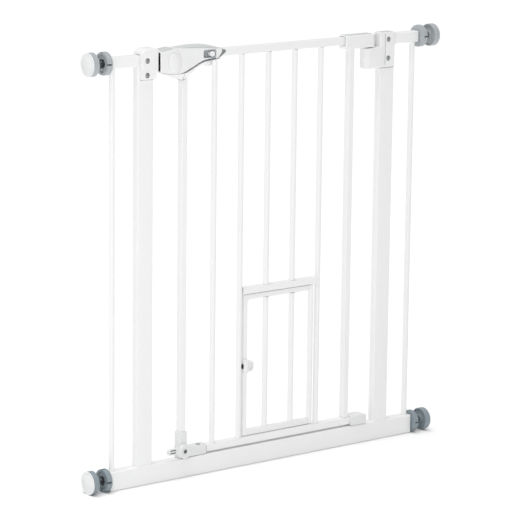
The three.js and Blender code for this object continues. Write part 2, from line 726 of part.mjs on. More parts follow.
function catDoorFrame() {
  const { left, bottom, top, halfDepth } = CAT_FRAME;
  const { stile, topRail, bottomRail, innerCorner } = CAT_SECTION;
  const right = CAT_HINGE.x - CAT_HINGE.radius - GAP;
  const cornerX = left + stile + innerCorner;
  const cornerZ = top - topRail - innerCorner;
  const shape = new THREE.Shape();
  shape.moveTo(left, bottom);
  shape.lineTo(right, bottom);
  shape.lineTo(right, bottom + bottomRail);
  shape.lineTo(left + stile, bottom + bottomRail);
  shape.lineTo(left + stile, cornerZ);
  shape.absarc(cornerX, cornerZ, innerCorner, Math.PI, Math.PI / 2, true);
  shape.lineTo(right, top - topRail);
  shape.lineTo(right, top);
  shape.lineTo(left, top);
  shape.closePath();
  const frame = sideProfile(shape, -halfDepth, halfDepth, 5);
  const boltHole = rodAlongX(left - 1, left + stile + 1, 0, CAT_LATCH.z, CAT_BOLT.hole, 12);
  return piece('cat_door_frame', cut(frame, boltHole), paintedSteel());
}

function catDoorBar(index) {
  const low = CAT_FRAME.bottom + CAT_SECTION.bottomRail + GAP;
  const high = CAT_FRAME.top - CAT_SECTION.topRail - GAP;
  const bar = roundTube(CAT_BARS[index], low, high, BAR.radius, BAR.wall);
  return piece(`cat_door_bar_${index + 1}`, bar, paintedSteel());
}

function catDoorHingeBar() {
  const { x, radius, pin, reach } = CAT_HINGE;
  const bar = rod(x, 0, CAT_FRAME.bottom, CAT_FRAME.top, radius);
  const pins = rod(x, 0, CAT_FRAME.bottom - reach, CAT_FRAME.top + reach, pin, 12);
  return piece('cat_door_hinge_bar', join(bar, pins), paintedSteel());
}

function catLatchPlate() {
  const { bottom, top, front } = CAT_LATCH;
  const left = CAT_FRAME.left - 0.5;
  const right = CAT_FRAME.left + CAT_SECTION.stile + 0.2;
  const plate = block(left, right, -front, -CAT_FRAME.halfDepth - GAP, bottom, top);
  return piece('cat_latch_plate', plate, whitePlastic());
}

function catLatchBolt() {
  const { left, right, front, back, halfHeight } = CAT_KNOB;
  const pin = rodAlongX(CAT_BOLT.tip, left + 2, 0, CAT_LATCH.z, CAT_BOLT.radius, 12);
  const corner = 6;
  const knob = new THREE.Shape();
  knob.moveTo(left, -halfHeight);
  knob.lineTo(right - corner, -halfHeight);
  knob.absarc(right - corner, -halfHeight + corner, corner, -Math.PI / 2, 0, false);
  knob.absarc(right - corner, halfHeight - corner, corner, 0, Math.PI / 2, false);
  knob.lineTo(left, halfHeight);
  knob.closePath();
  const grip = sideProfile(knob, -front, back, 5).translate(0, 0, CAT_LATCH.z);
  return piece('cat_latch_bolt', join(pin, grip), whitePlastic());
}

// ---------------------------------------------------------------- assembly

function fixedFrame() {
  const group = new THREE.Group();
  group.add(
    baseTube(),
    post('left_post', -1, STRIKE_SCREWS),
    post('right_post', 1, HINGE_SCREWS),
    upperArm('left_upper_arm', -1),
    upperArm('right_upper_arm', 1),
    sideBar('left_side_bar', -1),
    sideBar('right_side_bar', 1),
    latchStrike(),
    hingeHousing(),
    closingSpring(),
    upperHingePin()
  );
  ['upper', 'lower'].forEach((level, i) => {
    const strikeZ = STRIKE_SCREWS.heights[i];
    const hingeZ = HINGE_SCREWS.heights[i];
    group.add(screw(`strike_screw_${level}`, STRIKE_SCREWS.x, strikeZ, -STRIKE.halfDepth));
    group.add(screw(`hinge_screw_${level}`, HINGE_SCREWS.x, hingeZ, -HINGE_SLEEVE.halfDepth));
    group.add(cornerClamp(level, 'left', -1), cornerClamp(level, 'right', 1));
  });
  return group;
}

function door() {
  const group = new THREE.Group();
  group.add(
    doorTopRail(),
    doorBottomRail(),
    doorStile('latch_stile', LATCH_STILE_X),
    doorStile('hinge_stile', HINGE_STILE_X),
    catDoorLintel(),
    hingeCap(),
    hingeShoe(),
    cornerFoot(),
    footLever(),
    handleFrontShell(),
    handleRearShell(),
    latchBolt(),
    releaseSlide(),
    lockButton()
  );
  for (let index = 1; index <= 5; index += 1) {
    group.add(doorBar(index));
  }
  return group;
}

function catDoor() {
  const group = new THREE.Group();
  group.add(
    catDoorFrame(),
    catDoorHingeBar(),
    catLatchPlate(),
    catLatchBolt(),
    ...CAT_BARS.map((_, index) => catDoorBar(index))
  );
  return group;
}

const gate = new THREE.Group();
gate.name = 'pet_gate';
gate.add(fixedFrame(), door(), catDoor());

export default gate;
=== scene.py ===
"""Looks for the pressure-fit pet gate: fine pieces, materials, light and camera round the CAD frame.

Shapes are drawn in millimetres in the frame's own axes (+X towards the hinge side, +Y away from the
front, +Z up) and turned into metres when each mesh is made.
"""

import math
from collections import namedtuple

import bmesh
import bpy
from mathutils import Matrix, Vector


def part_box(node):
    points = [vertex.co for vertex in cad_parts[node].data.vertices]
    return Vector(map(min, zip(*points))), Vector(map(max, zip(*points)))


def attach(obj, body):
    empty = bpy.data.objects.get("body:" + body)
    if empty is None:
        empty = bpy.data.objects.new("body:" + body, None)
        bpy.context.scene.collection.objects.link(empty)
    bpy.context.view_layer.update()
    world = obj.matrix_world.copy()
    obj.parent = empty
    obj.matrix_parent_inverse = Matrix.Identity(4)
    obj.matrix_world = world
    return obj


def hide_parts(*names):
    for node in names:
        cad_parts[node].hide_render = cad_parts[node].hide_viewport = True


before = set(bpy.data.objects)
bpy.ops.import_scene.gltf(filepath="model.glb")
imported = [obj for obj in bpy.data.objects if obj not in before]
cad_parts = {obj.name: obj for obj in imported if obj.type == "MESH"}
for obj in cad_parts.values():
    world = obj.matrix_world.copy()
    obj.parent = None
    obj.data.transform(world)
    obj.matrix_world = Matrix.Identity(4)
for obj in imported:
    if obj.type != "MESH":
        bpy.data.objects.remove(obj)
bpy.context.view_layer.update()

MM = 0.001
GAP = 0.3  # clearance between pieces that touch
LAP = 0.3  # how far pieces that are fused reach into each other
BEYOND = 5  # how far a cutter reaches past the piece it cuts

# ---------------------------------------------------------------- camera and light

LENS = 196.4
SENSOR = 36.0
TARGET = Vector((-0.0404, -0.0293, 0.385))
DISTANCE = 4.972
AZIMUTH = math.radians(37.48)
PITCH = math.radians(11.77)
ROLL = math.radians(0.67)

WORLD_STRENGTH = 0.54
SUN = {"strength": 1.74, "spread": math.radians(50), "towards": (0.19, -0.03, -0.98)}
KEY = {"energy": 5.6, "size": 1.1, "place": (-1.15, -1.2, 0.85), "aim": (-0.1, 0.0, 0.4)}
FLOOR_SIZE = 60.0  # in metres, like the lights and the camera
FLOOR_HEIGHT = -0.2  # in millimetres, just under the gate

# ---------------------------------------------------------------- sizes of the detail, in millimetres

ROUND_SIDES = 40
TUBE_CORNER_STEPS = 6
BASE_TUBE = {"wall": 1.5, "corner": 2.6}
POST_TUBE = {"wall": 1.2, "corner": 2.2}
DOOR_TUBE = {"wall": 1.2, "corner": 1.9}
BAR = {"wall": 1.0, "flare": 1.3, "flare_height": 2.2}
WELD = {"radius": 0.9, "ripple": 0.22, "pitch": 2.4}

SCREW = {"recess": 4.9, "recess_depth": 2.4, "head": 4.2, "slot": 0.9, "slot_depth": 1.0}
STRIKE = {
    "big_corner": 13.0, "corner": 5.0, "small": 2.0, "step_corner": 0.8, "edge": 2.6,
    "step": 729.0, "right": -245.2, "lower_right": -249.3, "groove_half": 8.6,
}
STRIKE_SCREWS = ((-268.0, 750.0), (-268.0, 725.0))
HINGE_SCREWS = ((268.7, 750.0), (268.7, 715.5))

HINGE_X = 225.5
HOUSING = {
    "radius": 12.0, "pocket": 10.5, "edge": 3.0, "corner": 3.4, "barrel_top": 737.2,
    "neck_left": 249.6, "neck_right": 256.0, "neck_half": 9.9, "sleeve_half": 9.8, "web_left": 240.5,
}
# Painted shade: a dark sheet on the web's front, in the gap beside the cap.
HOUSING_SHADE_SHEET = (240.7, 246.4, 4.4, 5.2)  # x span, y span
HOUSING_GROOVE = {"x": 260.4, "width": 1.5, "depth": 1.8, "bottom": 704.0, "top": 760.0}
CAP = {"edge": 2.2, "corner": 6.0, "mouth": 1.6, "reach": 2.6, "bore": 5.3, "bore_top": 756}
SHOE = {"edge": 2.4, "arch": 1.6}
# Painted shadow: sizes of the dark strips that stand for the shadow lines under the mouldings.
SHADOW_STRIP = {"width": 0.7, "height": 1.1, "play": 0.1}

FOOT = {
    "depth": 8.7, "stem_bottom": 44, "stem_reach": 2.3,
    "boss": 5.0, "boss_front": -15.2, "screw_front": -12.6,
}
PORT = {"x": -148, "y": -1.5, "half_width": 5.6, "half_depth": 3.6, "inset": 0.2}
LEVER = {"radius": 13.0, "half_tab": 5.6, "lift": 3.0, "slot_offset": 2.3, "slot_half": 1.1}
LEVER_SLOT = {"far": 32, "near": 19, "shrink": 0.05, "floor": -11.6}

NOSE_X = -242.8
AROUND_HANDLE = {"left": -260, "right": -90, "front": -30, "low": 700}  # well clear of it
HANDLE_DEPTH = 16.0
COVER_DEPTH = 5.6
NOSE_FRONT = 20.1
DISC = {"x": -215.8, "z": 744.4, "width": 10.5, "height": 15.1, "front": 20.3}
LOCK = {"x": -133.5, "z": 752.8, "radius": 4.7, "track": -8.5, "corner": 3.4}
LOCK_RECESS = (-152.4, -124.6, 746.2, 760.8)  # x span, z span
KNOB_ROOM = (-151.4, -127.2, 747.0, 758.6)

THREAD = {"radius": 5.0, "pitch": 3.0, "depth": 0.9, "sides": 28, "steps_per_turn": 10}
WHEEL = {"start": 2.7, "bore": 5.4, "notches": 4, "ribs": 32, "rib_height": 0.55}

CAT_FRAME = {"stile": 8.0, "top_rail": 8.8, "bottom_rail": 11.0, "corner": 6.0}
CAT_KNOB_LEFT = -41.0

Box = namedtuple("Box", "x0 x1 y0 y1 z0 z1")


def box_of(node):
    """A CAD node's box at rest, in millimetres."""
    low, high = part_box(node)
    return Box(*(value / MM for pair in zip(low, high) for value in pair))


# ---------------------------------------------------------------- outlines


def arc(u, v, radius, start, end, steps):
    """Points on an arc, angles in degrees."""
    angles = [math.radians(start + (end - start) * i / steps) for i in range(steps + 1)]
    return [(u + radius * math.cos(a), v + radius * math.sin(a)) for a in angles]


def round_rect(u0, u1, v0, v1, radius, steps=TUBE_CORNER_STEPS):
    """A rectangle with rounded corners, anticlockwise."""
    centres = (
        (u1 - radius, v0 + radius, -90),
        (u1 - radius, v1 - radius, 0),
        (u0 + radius, v1 - radius, 90),
        (u0 + radius, v0 + radius, 180),
    )
    return [p for u, v, a in centres for p in arc(u, v, radius, a, a + 90, steps)]


def ellipse(u, v, half_width, half_height, sides=56):
    turns = [2 * math.pi * i / sides for i in range(sides)]
    return [(u + half_width * math.cos(a), v + half_height * math.sin(a)) for a in turns]


def fillet(corners, steps=6):
    """A closed outline from (u, v, radius) corners, each rounded by its own radius."""
    outline = []
    count = len(corners)
    for i, (u, v, radius) in enumerate(corners):
        here = Vector((u, v))
        before = (Vector(corners[i - 1][:2]) - here).normalized()
        after = (Vector(corners[(i + 1) % count][:2]) - here).normalized()
        if radius <= 0 or abs(before.dot(after)) > 0.999:
            outline.append((u, v))
            continue
        half = before.angle(after) / 2
        reach = radius / math.tan(half)
        centre = here + (before + after).normalized() * (radius / math.sin(half))
        first = here + before * reach - centre
        last = here + after * reach - centre
        for k in range(steps + 1):
            spoke = first.lerp(last, k / steps).normalized() * radius
            outline.append(tuple(centre + spoke))
    return outline


def flowing(points, steps=6):
    """A smooth open curve through the points (Catmull-Rom)."""
    padded = [points[0], *points, points[-1]]
    curve = []
    for i in range(1, len(padded) - 2):
        a, b, c, d = (Vector(p) for p in padded[i - 1 : i + 3])
        for k in range(steps):
            t = k / steps
            point = 0.5 * (
                2 * b
                + (c - a) * t
                + (2 * a - 5 * b + 4 * c - d) * t**2
                + (3 * b - a - 3 * c + d) * t**3
            )
            curve.append(tuple(point))
    return [*curve, tuple(points[-1])]


# ---------------------------------------------------------------- mesh makers

PLACE = {
    "X": lambda u, v, w: (w, u, v),
    "Y": lambda u, v, w: (u, w, v),
    "Z": lambda u, v, w: (u, v, w),
}


def link(name, data):
    """A new object in the scene."""
    obj = bpy.data.objects.new(name, data)
    bpy.context.scene.collection.objects.link(obj)
    return obj


def to_object(name, bm):
    """A new object from a mesh drawn in millimetres."""
    bmesh.ops.recalc_face_normals(bm, faces=bm.faces)
    bmesh.ops.scale(bm, vec=(MM, MM, MM), verts=bm.verts)
    mesh = bpy.data.meshes.new(name)
    bm.to_mesh(mesh)
    bm.free()
    return link(name, mesh)


def neighbours(rings, closed):
    """Each ring with the next, and the last with the first if the row is closed."""
    return zip(rings, rings[1:] + rings[:1] if closed else rings[1:])


def skin(bm, rings, closed=False):
    """Faces between rings of equal length, each ring closed on itself."""
    for one, two in neighbours(rings, closed):
        count = len(one)
        for i in range(count):
            j = (i + 1) % count
            bm.faces.new((one[i], one[j], two[j], two[i]))


def prism(name, outline, axis, low, high):
    """A solid of constant outline along an axis."""
    bm = bmesh.new()
    rings = [[bm.verts.new(PLACE[axis](u, v, w)) for u, v in outline] for w in (low, high)]
    skin(bm, rings)
    for ring in rings:
        bm.faces.new(ring)
    return to_object(name, bm)


def tube(name, outer, inner, axis, low, high):
    """A hollow of constant outline along an axis, open at both ends."""
    bm = bmesh.new()
    rings = [
        [bm.verts.new(PLACE[axis](u, v, w)) for u, v in outline]
        for outline, w in ((outer, low), (outer, high), (inner, high), (inner, low))
    ]
    skin(bm, rings, closed=True)
    return to_object(name, bm)


def block(name, x0, x1, y0, y1, z0, z1):
    return prism(name, [(x0, y0), (x1, y0), (x1, y1), (x0, y1)], "Z", z0, z1)


def turned(name, profile, axis, centre=(0, 0), sides=ROUND_SIDES, closed=False, offset=0.0):
    """A solid turned about an axis from (radius, along) points: from axis to axis, or a closed loop."""
    bm = bmesh.new()
    rings = []
    for radius, along in profile:
        if radius < 1e-6:
            rings.append([bm.verts.new(PLACE[axis](*centre, along + offset))])
            continue
        ring = ellipse(*centre, radius, radius, sides)
        rings.append([bm.verts.new(PLACE[axis](u, v, along + offset)) for u, v in ring])
    for one, two in neighbours(rings, closed):
        for i in range(sides):
            j = (i + 1) % sides
            corners = [one[i % len(one)], one[j % len(one)], two[j % len(two)], two[i % len(two)]]
            face = list(dict.fromkeys(corners))
            if len(face) > 2:
                bm.faces.new(face)
    return to_object(name, bm)


def rod(name, axis, centre, low, high, radius, sides=ROUND_SIDES):
    profile = [(0, low), (radius, low), (radius, high), (0, high)]
    return turned(name, profile, axis, centre, sides)


def settle(obj):
    """Makes an object's modifiers part of its mesh."""
    graph = bpy.context.evaluated_depsgraph_get()
    mesh = bpy.data.meshes.new_from_object(obj.evaluated_get(graph))
    old = obj.data
    obj.modifiers.clear()
    obj.data = mesh
    bpy.data.meshes.remove(old)
    return obj


def combine(obj, others, operation):
    """Applies a boolean with each of the other objects, and removes them."""
    for other in others:
        modifier = obj.modifiers.new(operation, "BOOLEAN")
        modifier.operation = operation
        modifier.solver = "EXACT"
        modifier.object = other
    settle(obj)
    for other in others:
        mesh = other.data
        bpy.data.objects.remove(other)
        bpy.data.meshes.remove(mesh)
    return obj


def carve(obj, *tools):
    return combine(obj, tools, "DIFFERENCE")


def fuse(obj, *others):
    return combine(obj, others, "UNION")


def room_round(tube_box, low_z, high_z):
    """A cutter that clears an upright tube by the gap all round."""
    b = tube_box
    return block("room", b.x0 - GAP, b.x1 + GAP, b.y0 - GAP, b.y1 + GAP, low_z, high_z)


def place_scaled(obj, place, sizes):
    """Scales a piece drawn about the origin, and moves it to its place in millimetres."""
    move = Matrix.Translation([value * MM for value in place])
    obj.data.transform(move @ Matrix.Diagonal((*sizes, 1)))


def soften(obj, width, segments=3, angle=35):
    """Rounds the edges that are sharper than an angle."""
    modifier = obj.modifiers.new("edge", "BEVEL")
    modifier.width = width * MM
    modifier.segments = segments
    modifier.limit_method = "ANGLE"
    modifier.angle_limit = math.radians(angle)
    modifier.use_clamp_overlap = True
    return settle(obj)


def dress(obj, body, material, slot, *nodes, smooth=40):
    """Gives a piece its finish and its place in the frame, and hides the CAD nodes it stands for."""
    obj.data.materials.clear()
    obj.data.materials.append(material)
    obj.data.shade_smooth()
    obj.data.set_sharp_from_angle(angle=math.radians(smooth))
    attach(obj, body)
    if nodes:
        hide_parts(*nodes)
    return obj


# ---------------------------------------------------------------- materials


class Shader:
    """A principled material with a few helpers for its noise."""

    def __init__(self, name, color, roughness, metallic=0.0, specular=0.5, coat=0.0):
        self.material = bpy.data.materials.new(name)
        self.material.use_nodes = True
        self.nodes = self.material.node_tree.nodes
        self.links = self.material.node_tree.links
        self.surface = self.nodes["Principled BSDF"]
        values = {
            "Base Color": (*color, 1.0), "Roughness": roughness, "Metallic": metallic,
            "Specular IOR Level": specular, "Coat Weight": coat, "Coat Roughness": 0.2,
        }
        for key, value in values.items():
            self.surface.inputs[key].default_value = value
        self.place = self.nodes.new("ShaderNodeTexCoord").outputs["Object"]

    def add(self, kind, source, socket, **values):
        """A new node with one input linked and values for others, whose spaces are underscores here."""
        node = self.nodes.new(f"ShaderNode{kind}")
        for key, value in values.items():
            node.inputs[key.replace("_", " ")].default_value = value
        self.links.new(source, node.inputs[socket])
        return node

    def noise(self, scale, detail=3.0, stretch=(1, 1, 1)):
        mapped = self.add("Mapping", self.place, "Vector", Scale=stretch).outputs["Vector"]
        return self.add("TexNoise", mapped, "Vector", Scale=scale, Detail=detail).outputs["Fac"]

    def cells(self, scale):
        return self.add("TexVoronoi", self.place, "Vector", Scale=scale).outputs["Distance"]

    def mottle(self, factor, dark, light):
        """Base colour that drifts between two near tones."""
        ramp = self.add("ValToRGB", factor, "Fac")
        for stop, place, tone in zip(ramp.color_ramp.elements, (0.3, 0.7), (dark, light)):
            stop.position = place
            stop.color = (*tone, 1.0)
        self.links.new(ramp.outputs["Color"], self.surface.inputs["Base Color"])

    def uneven_gloss(self, factor, low, high):
        spread = self.add("MapRange", factor, "Value", To_Min=low, To_Max=high)
        self.links.new(spread.outputs["Result"], self.surface.inputs["Roughness"])

    def bumps(self, *layers):
        """Bump layers of (height, strength, distance in millimetres), one over the other."""
        normal = None
        for height, strength, distance in layers:
            bump = self.add("Bump", height, "Height", Strength=strength, Distance=distance * MM)
            if normal:
                self.links.new(normal, bump.inputs["Normal"])
            normal = bump.outputs["Normal"]
        self.links.new(normal, self.surface.inputs["Normal"])


def tinted(color, factor):
    return tuple(channel * factor for channel in color)


def powder_coat():
    """White powder coat over steel: orange peel, and a slow drift of tone and gloss."""
    color = (0.865, 0.866, 0.866)
    shader = Shader("powder_coat", color, 0.34, coat=0.12)
    shader.mottle(shader.noise(9.0, 4.0), tinted(color, 0.985), color)
    shader.uneven_gloss(shader.noise(55.0), 0.28, 0.42)
    shader.bumps((shader.noise(900.0, 2.0), 0.16, 0.08), (shader.noise(190.0, 1.0), 0.1, 0.15))
    return shader.material


def moulded(name, color, roughness, grain=1500.0, depth=0.05):
    """Injection-moulded plastic: a fine spark-eroded grain and faint flow marks."""
    shader = Shader(name, color, roughness)
    shader.mottle(shader.noise(28.0, 3.0, (1, 1, 2.4)), tinted(color, 0.97), color)
    shader.uneven_gloss(shader.noise(120.0), roughness - 0.06, roughness + 0.08)
    shader.bumps((shader.cells(grain), 0.22, depth), (shader.noise(grain * 0.45, 3.0), 0.2, depth))
    return shader.material


def pad_rubber():
    """Pale soft rubber, matte, with a faint bloom."""
    color = (0.80, 0.815, 0.815)
    shader = Shader("pad_rubber", color, 0.72, specular=0.35)
    shader.mottle(shader.noise(70.0, 5.0), tinted(color, 0.955), color)
    shader.bumps((shader.noise(1600.0, 4.0), 0.3, 0.06))
    return shader.material


def plated_steel(name, color, roughness):
    """Zinc-plated steel with fine turning marks."""
    shader = Shader(name, color, roughness, metallic=1.0)
    shader.mottle(shader.noise(240.0, 4.0), tinted(color, 0.78), color)
    shader.uneven_gloss(shader.noise(420.0), roughness - 0.08, roughness + 0.14)
    shader.bumps((shader.noise(700.0, 3.0, (1, 1, 6)), 0.25, 0.04))
    return shader.material


def studio_floor():
    shader = Shader("studio_floor", (0.965, 0.965, 0.965), 0.9, specular=0.1)
    shader.bumps((shader.noise(12.0), 0.02, 1.0))
    return shader.material


PAINT = powder_coat()
WHITE = moulded("white_plastic", (0.855, 0.856, 0.856), 0.42)
COVER = moulded("handle_cover_plastic", (0.835, 0.837, 0.838), 0.36, grain=1900.0, depth=0.03)
GRIP = moulded("grip_plastic", (0.62, 0.63, 0.635), 0.6, grain=900.0, depth=0.09)
# The lower clamps take a darker copy of the same grey plastic: painted shade near the floor.
GREY_UPPER = moulded("grey_plastic_upper", (0.41, 0.44, 0.455), 0.5)
GREY_LOWER_SHADED = moulded("grey_plastic_lower_shaded", (0.25, 0.30, 0.33), 0.5)
# Painted shade: a dark grey for the strip in the handle's parting gap.
SHADE = moulded("painted_shade_plastic", (0.25, 0.27, 0.28), 0.6)
# Painted shadow and shade: a dark grey for the strips under mouldings and the sheets in narrow gaps.
GAP_SHADE = moulded("gap_shade_plastic", (0.21, 0.23, 0.24), 0.6)
# Painted shade: a near-black for the insides of holes, slots and the nose's mouth.
HOLE_SHADE = moulded("hole_shade_plastic", (0.11, 0.12, 0.13), 0.55)
# Grey plastic of the lock recess's floor, made darker as painted shade; also painted shade in the housing's
# groove.
RECESS_GREY_AND_SHADE = moulded("recess_grey_and_shade_plastic", (0.40, 0.43, 0.45), 0.6)
FOOT_WHITE = moulded("foot_plastic", (0.78, 0.785, 0.785), 0.45)
# Painted shade: a mid grey for top faces that read darker than the fronts.
TOP_SHADE = moulded("top_shade_plastic", (0.60, 0.61, 0.615), 0.5)
RUBBER = pad_rubber()
STEEL = plated_steel("plated_steel", (0.42, 0.43, 0.44), 0.34)
DARK_STEEL = plated_steel("dark_steel", (0.13, 0.14, 0.15), 0.4)

# ---------------------------------------------------------------- tubes and bars


def square_tube(node, body, axis, wall, corner, holes=(), capped=False):
    """A drawn rectangular tube with rounded corners, along X or Z, with end walls if it is capped."""
    b = box_of(node)
    spans = {"X": (b.y0, b.y1, b.z0, b.z1, b.x0, b.x1), "Z": (b.x0, b.x1, b.y0, b.y1, b.z0, b.z1)}
    u0, u1, v0, v1, low, high = spans[axis]
    outer = round_rect(u0, u1, v0, v1, corner)
    inner_corner = max(corner - wall, 0.4)
    inner = round_rect(u0 + wall, u1 - wall, v0 + wall, v1 - wall, inner_corner)
    obj = tube(f"{node}_tube", outer, inner, axis, low, high)
    if capped:
        plug = round_rect(
            u0 + wall - LAP, u1 - wall + LAP, v0 + wall - LAP, v1 - wall + LAP, inner_corner
        )
        low_end = prism("low_end", plug, axis, low + 0.1, low + wall)
        high_end = prism("high_end", plug, axis, high - wall, high - 0.1)
        fuse(obj, low_end, high_end)
    if holes:
        carve(obj, *holes)
    return dress(obj, body, PAINT, "painted_steel", node)


def round_bar(node, body, *tools):
    """A round tube whose ends flare into their welds."""
    b = box_of(node)
    radius = (b.x1 - b.x0) / 2
    flare, height = BAR["flare"], BAR["flare_height"]
    steps = 4
    foot = []
    for i in range(steps + 1):
        angle = math.pi / 2 * i / steps
        foot.append((radius + flare * (1 - math.sin(angle)), height * (1 - math.cos(angle))))
    outer = [(r, b.z0 + h) for r, h in foot] + [(r, b.z1 - h) for r, h in reversed(foot)]
    inner = [(radius - BAR["wall"], b.z1), (radius - BAR["wall"], b.z0)]
    centre = ((b.x0 + b.x1) / 2, 0)
    obj = turned(f"{node}_rod", outer + inner, "Z", centre, closed=True)
    if tools:
        carve(obj, *tools)
    return dress(obj, body, PAINT, "painted_steel", node)


def weld_bead(name, body, outline, axis, along):
    """A rippled bead of weld that follows a closed outline in a plane."""
    bm = bmesh.new()
    points = [Vector(PLACE[axis](u, v, along)) for u, v in outline]
    count = len(points)
    travelled = 0.0
    rings = []
    for i, point in enumerate(points):
        ahead = points[(i + 1) % count]
        direction = (ahead - points[i - 1]).normalized()
        out = direction.cross(Vector(PLACE[axis](0, 0, 1))).normalized()
        up = Vector(PLACE[axis](0, 0, 1))
        radius = WELD["radius"] + WELD["ripple"] * math.sin(2 * math.pi * travelled / WELD["pitch"])
        spokes = [2 * math.pi * k / 8 for k in range(8)]
        rings.append([bm.verts.new(point + (out * math.cos(a) + up * math.sin(a)) * radius) for a in spokes])
        travelled += (ahead - point).length
    skin(bm, rings, closed=True)
    return dress(to_object(name, bm), body, PAINT, "painted_steel", smooth=80)


def divided(outline, step=0.6):
    """The same closed outline with points no further apart than a step."""
    fine = []
    for i, start in enumerate(outline):
        here = Vector(start)
        there = Vector(outline[(i + 1) % len(outline)])
        pieces = max(1, math.ceil((there - here).length / step))
        fine.extend(tuple(here.lerp(there, k / pieces)) for k in range(pieces))
    return fine


def fixed_tubes():
    base = box_of("base_tube")
    pin_hole = rod("pin_hole", "Z", (HINGE_X, 0), base.z1 - 3, base.z1 + 1, 4.5)
    square_tube("base_tube", "frame", "X", **BASE_TUBE, holes=(pin_hole,))
    for side in ("left", "right"):
        square_tube(f"{side}_post", "frame", "Z", **POST_TUBE)
        square_tube(f"{side}_upper_arm", "frame", "X", **POST_TUBE)
        round_bar(f"{side}_side_bar", "frame")
        post = box_of(f"{side}_post")
        ring = divided(round_rect(post.x0, post.x1, post.y0, post.y1, POST_TUBE["corner"]))
        weld_bead(f"{side}_post_weld", "frame", ring, "Z", base.z1 + 0.2)
        arm = box_of(f"{side}_upper_arm")
        inner_end = arm.x1 if side == "left" else arm.x0
        ring = divided(round_rect(arm.y0, arm.y1, arm.z0, arm.z1, POST_TUBE["corner"]))
        weld_bead(f"{side}_arm_weld", "frame", ring, "X", inner_end)


def door_tubes():
    for node in ("door_top_rail", "door_bottom_rail", "cat_door_lintel"):
        square_tube(node, "door", "X", capped=node == "cat_door_lintel", **DOOR_TUBE)
    for node in ("latch_stile", "hinge_stile"):
        square_tube(node, "door", "Z", **DOOR_TUBE)
    for index in (1, 3, 4, 5):
        round_bar(f"door_bar_{index}", "door")
    bar = box_of("door_bar_2")
    keeper = box_of("cat_latch_bolt")
    middle = (keeper.z0 + keeper.z1) / 2
    slot = block("keeper_slot", bar.x1 - 3.1, bar.x1 + 5, -9, 9, middle - 3.4, middle + 3.4)
    round_bar("door_bar_2", "door", slot)


# ---------------------------------------------------------------- mouldings on the fixed frame


def screw_recess(name, x, z, front):
    return rod(name, "Y", (x, z), front - 2, front + SCREW["recess_depth"], SCREW["recess"], 32)


def screw(node, x, z, front):
    """A countersunk head with a cross recess, sunk in its seat."""
    seat = front + SCREW["recess_depth"] - GAP
    crown = seat - 2.0
    head = SCREW["head"]
    profile = [
        (0, seat), (head, seat), (head, seat - 0.9), (head - 0.5, seat - 1.5),
        (head - 1.6, crown), (0, crown),
    ]
    obj = turned(f"{node}_head", profile, "Y", (x, z), 32)
    half = SCREW["slot"] / 2
    reach = head * 0.62
    top = crown - 1
    floor = crown + SCREW["slot_depth"]
    upright = block("cross_a", x - half, x + half, top, floor, z - reach, z + reach)
    level = block("cross_b", x - reach, x + reach, top, floor, z - half, z + half)
    carve(obj, upright, level)
    return dress(obj, "frame", STEEL, "dark_steel", node, smooth=30)


def shadow_strip(name, body, tube_box, low_x, high_x, top):
    """A thin dark strip round a tube, just below the moulding that spans low_x to high_x: painted shadow
    where the moulding meets the tube.
    """
    b = tube_box
    width = SHADOW_STRIP["width"]
    play = SHADOW_STRIP["play"]
    outline = round_rect(max(low_x, b.x0 - width), min(high_x, b.x1 + width), b.y0 - width, b.y1 + width, 1.0)
    ring = prism(name, outline, "Z", top - SHADOW_STRIP["height"], top + 1)
    room = block("room", b.x0 - play, b.x1 + play, b.y0 - play, b.y1 + play, top - BEYOND, top + BEYOND)
    carve(ring, room)
    dress(ring, body, GAP_SHADE, "grey_plastic")


def latch_strike():
    b = box_of("latch_strike")
    post = box_of("left_post")
    right = STRIKE["right"]
    lower_right = STRIKE["lower_right"]
    step = STRIKE["step"]
    outline = fillet(
        [
            (b.x0, b.z0, STRIKE["small"]),
            (lower_right, b.z0, STRIKE["small"]),
            (lower_right, step - 1, STRIKE["step_corner"]),
            (right, step + 0.6, STRIKE["step_corner"]),
            (right, b.z1, STRIKE["corner"]),
            (b.x0, b.z1, STRIKE["big_corner"]),
        ]
    )
    obj = prism("latch_strike_moulding", outline, "Y", b.y0, b.y1)
    soften(obj, STRIKE["edge"], 5)
    left, low = b.x0 - BEYOND, b.z0 - BEYOND
    room = block("post_room", left, post.x1 + GAP, post.y0 - GAP, post.y1 + GAP, low, post.z1 + GAP)
    bolt = box_of("latch_bolt")
    half = STRIKE["groove_half"]
    groove = block("groove", post.x1 + 0.7, right + BEYOND, -half, half, bolt.z0 - 0.7, bolt.z1 + 7)
    recesses = [screw_recess(f"recess_{i}", x, z, b.y0) for i, (x, z) in enumerate(STRIKE_SCREWS)]
    carve(obj, room, groove, *recesses)
    dress(obj, "frame", WHITE, "white_plastic", "latch_strike")
    # Painted shadow: a dark strip under the strike.
    shadow_strip("latch_strike_shadow_strip", "frame", post, b.x0 + 0.6, lower_right - 0.3, b.z0)
    for level, (x, z) in zip(("upper", "lower"), STRIKE_SCREWS):
        screw(f"strike_screw_{level}", x, z, b.y0)


def top_shade_plate(name, body, outline, top):
    """A thin grey plate in the top of a moulding: painted shade that darkens the top face."""
    plate = prism(name, outline, "Z", top - 0.8, top + 0.15)
    dress(soften(plate, 0.2, 2), body, TOP_SHADE, "grey_plastic")


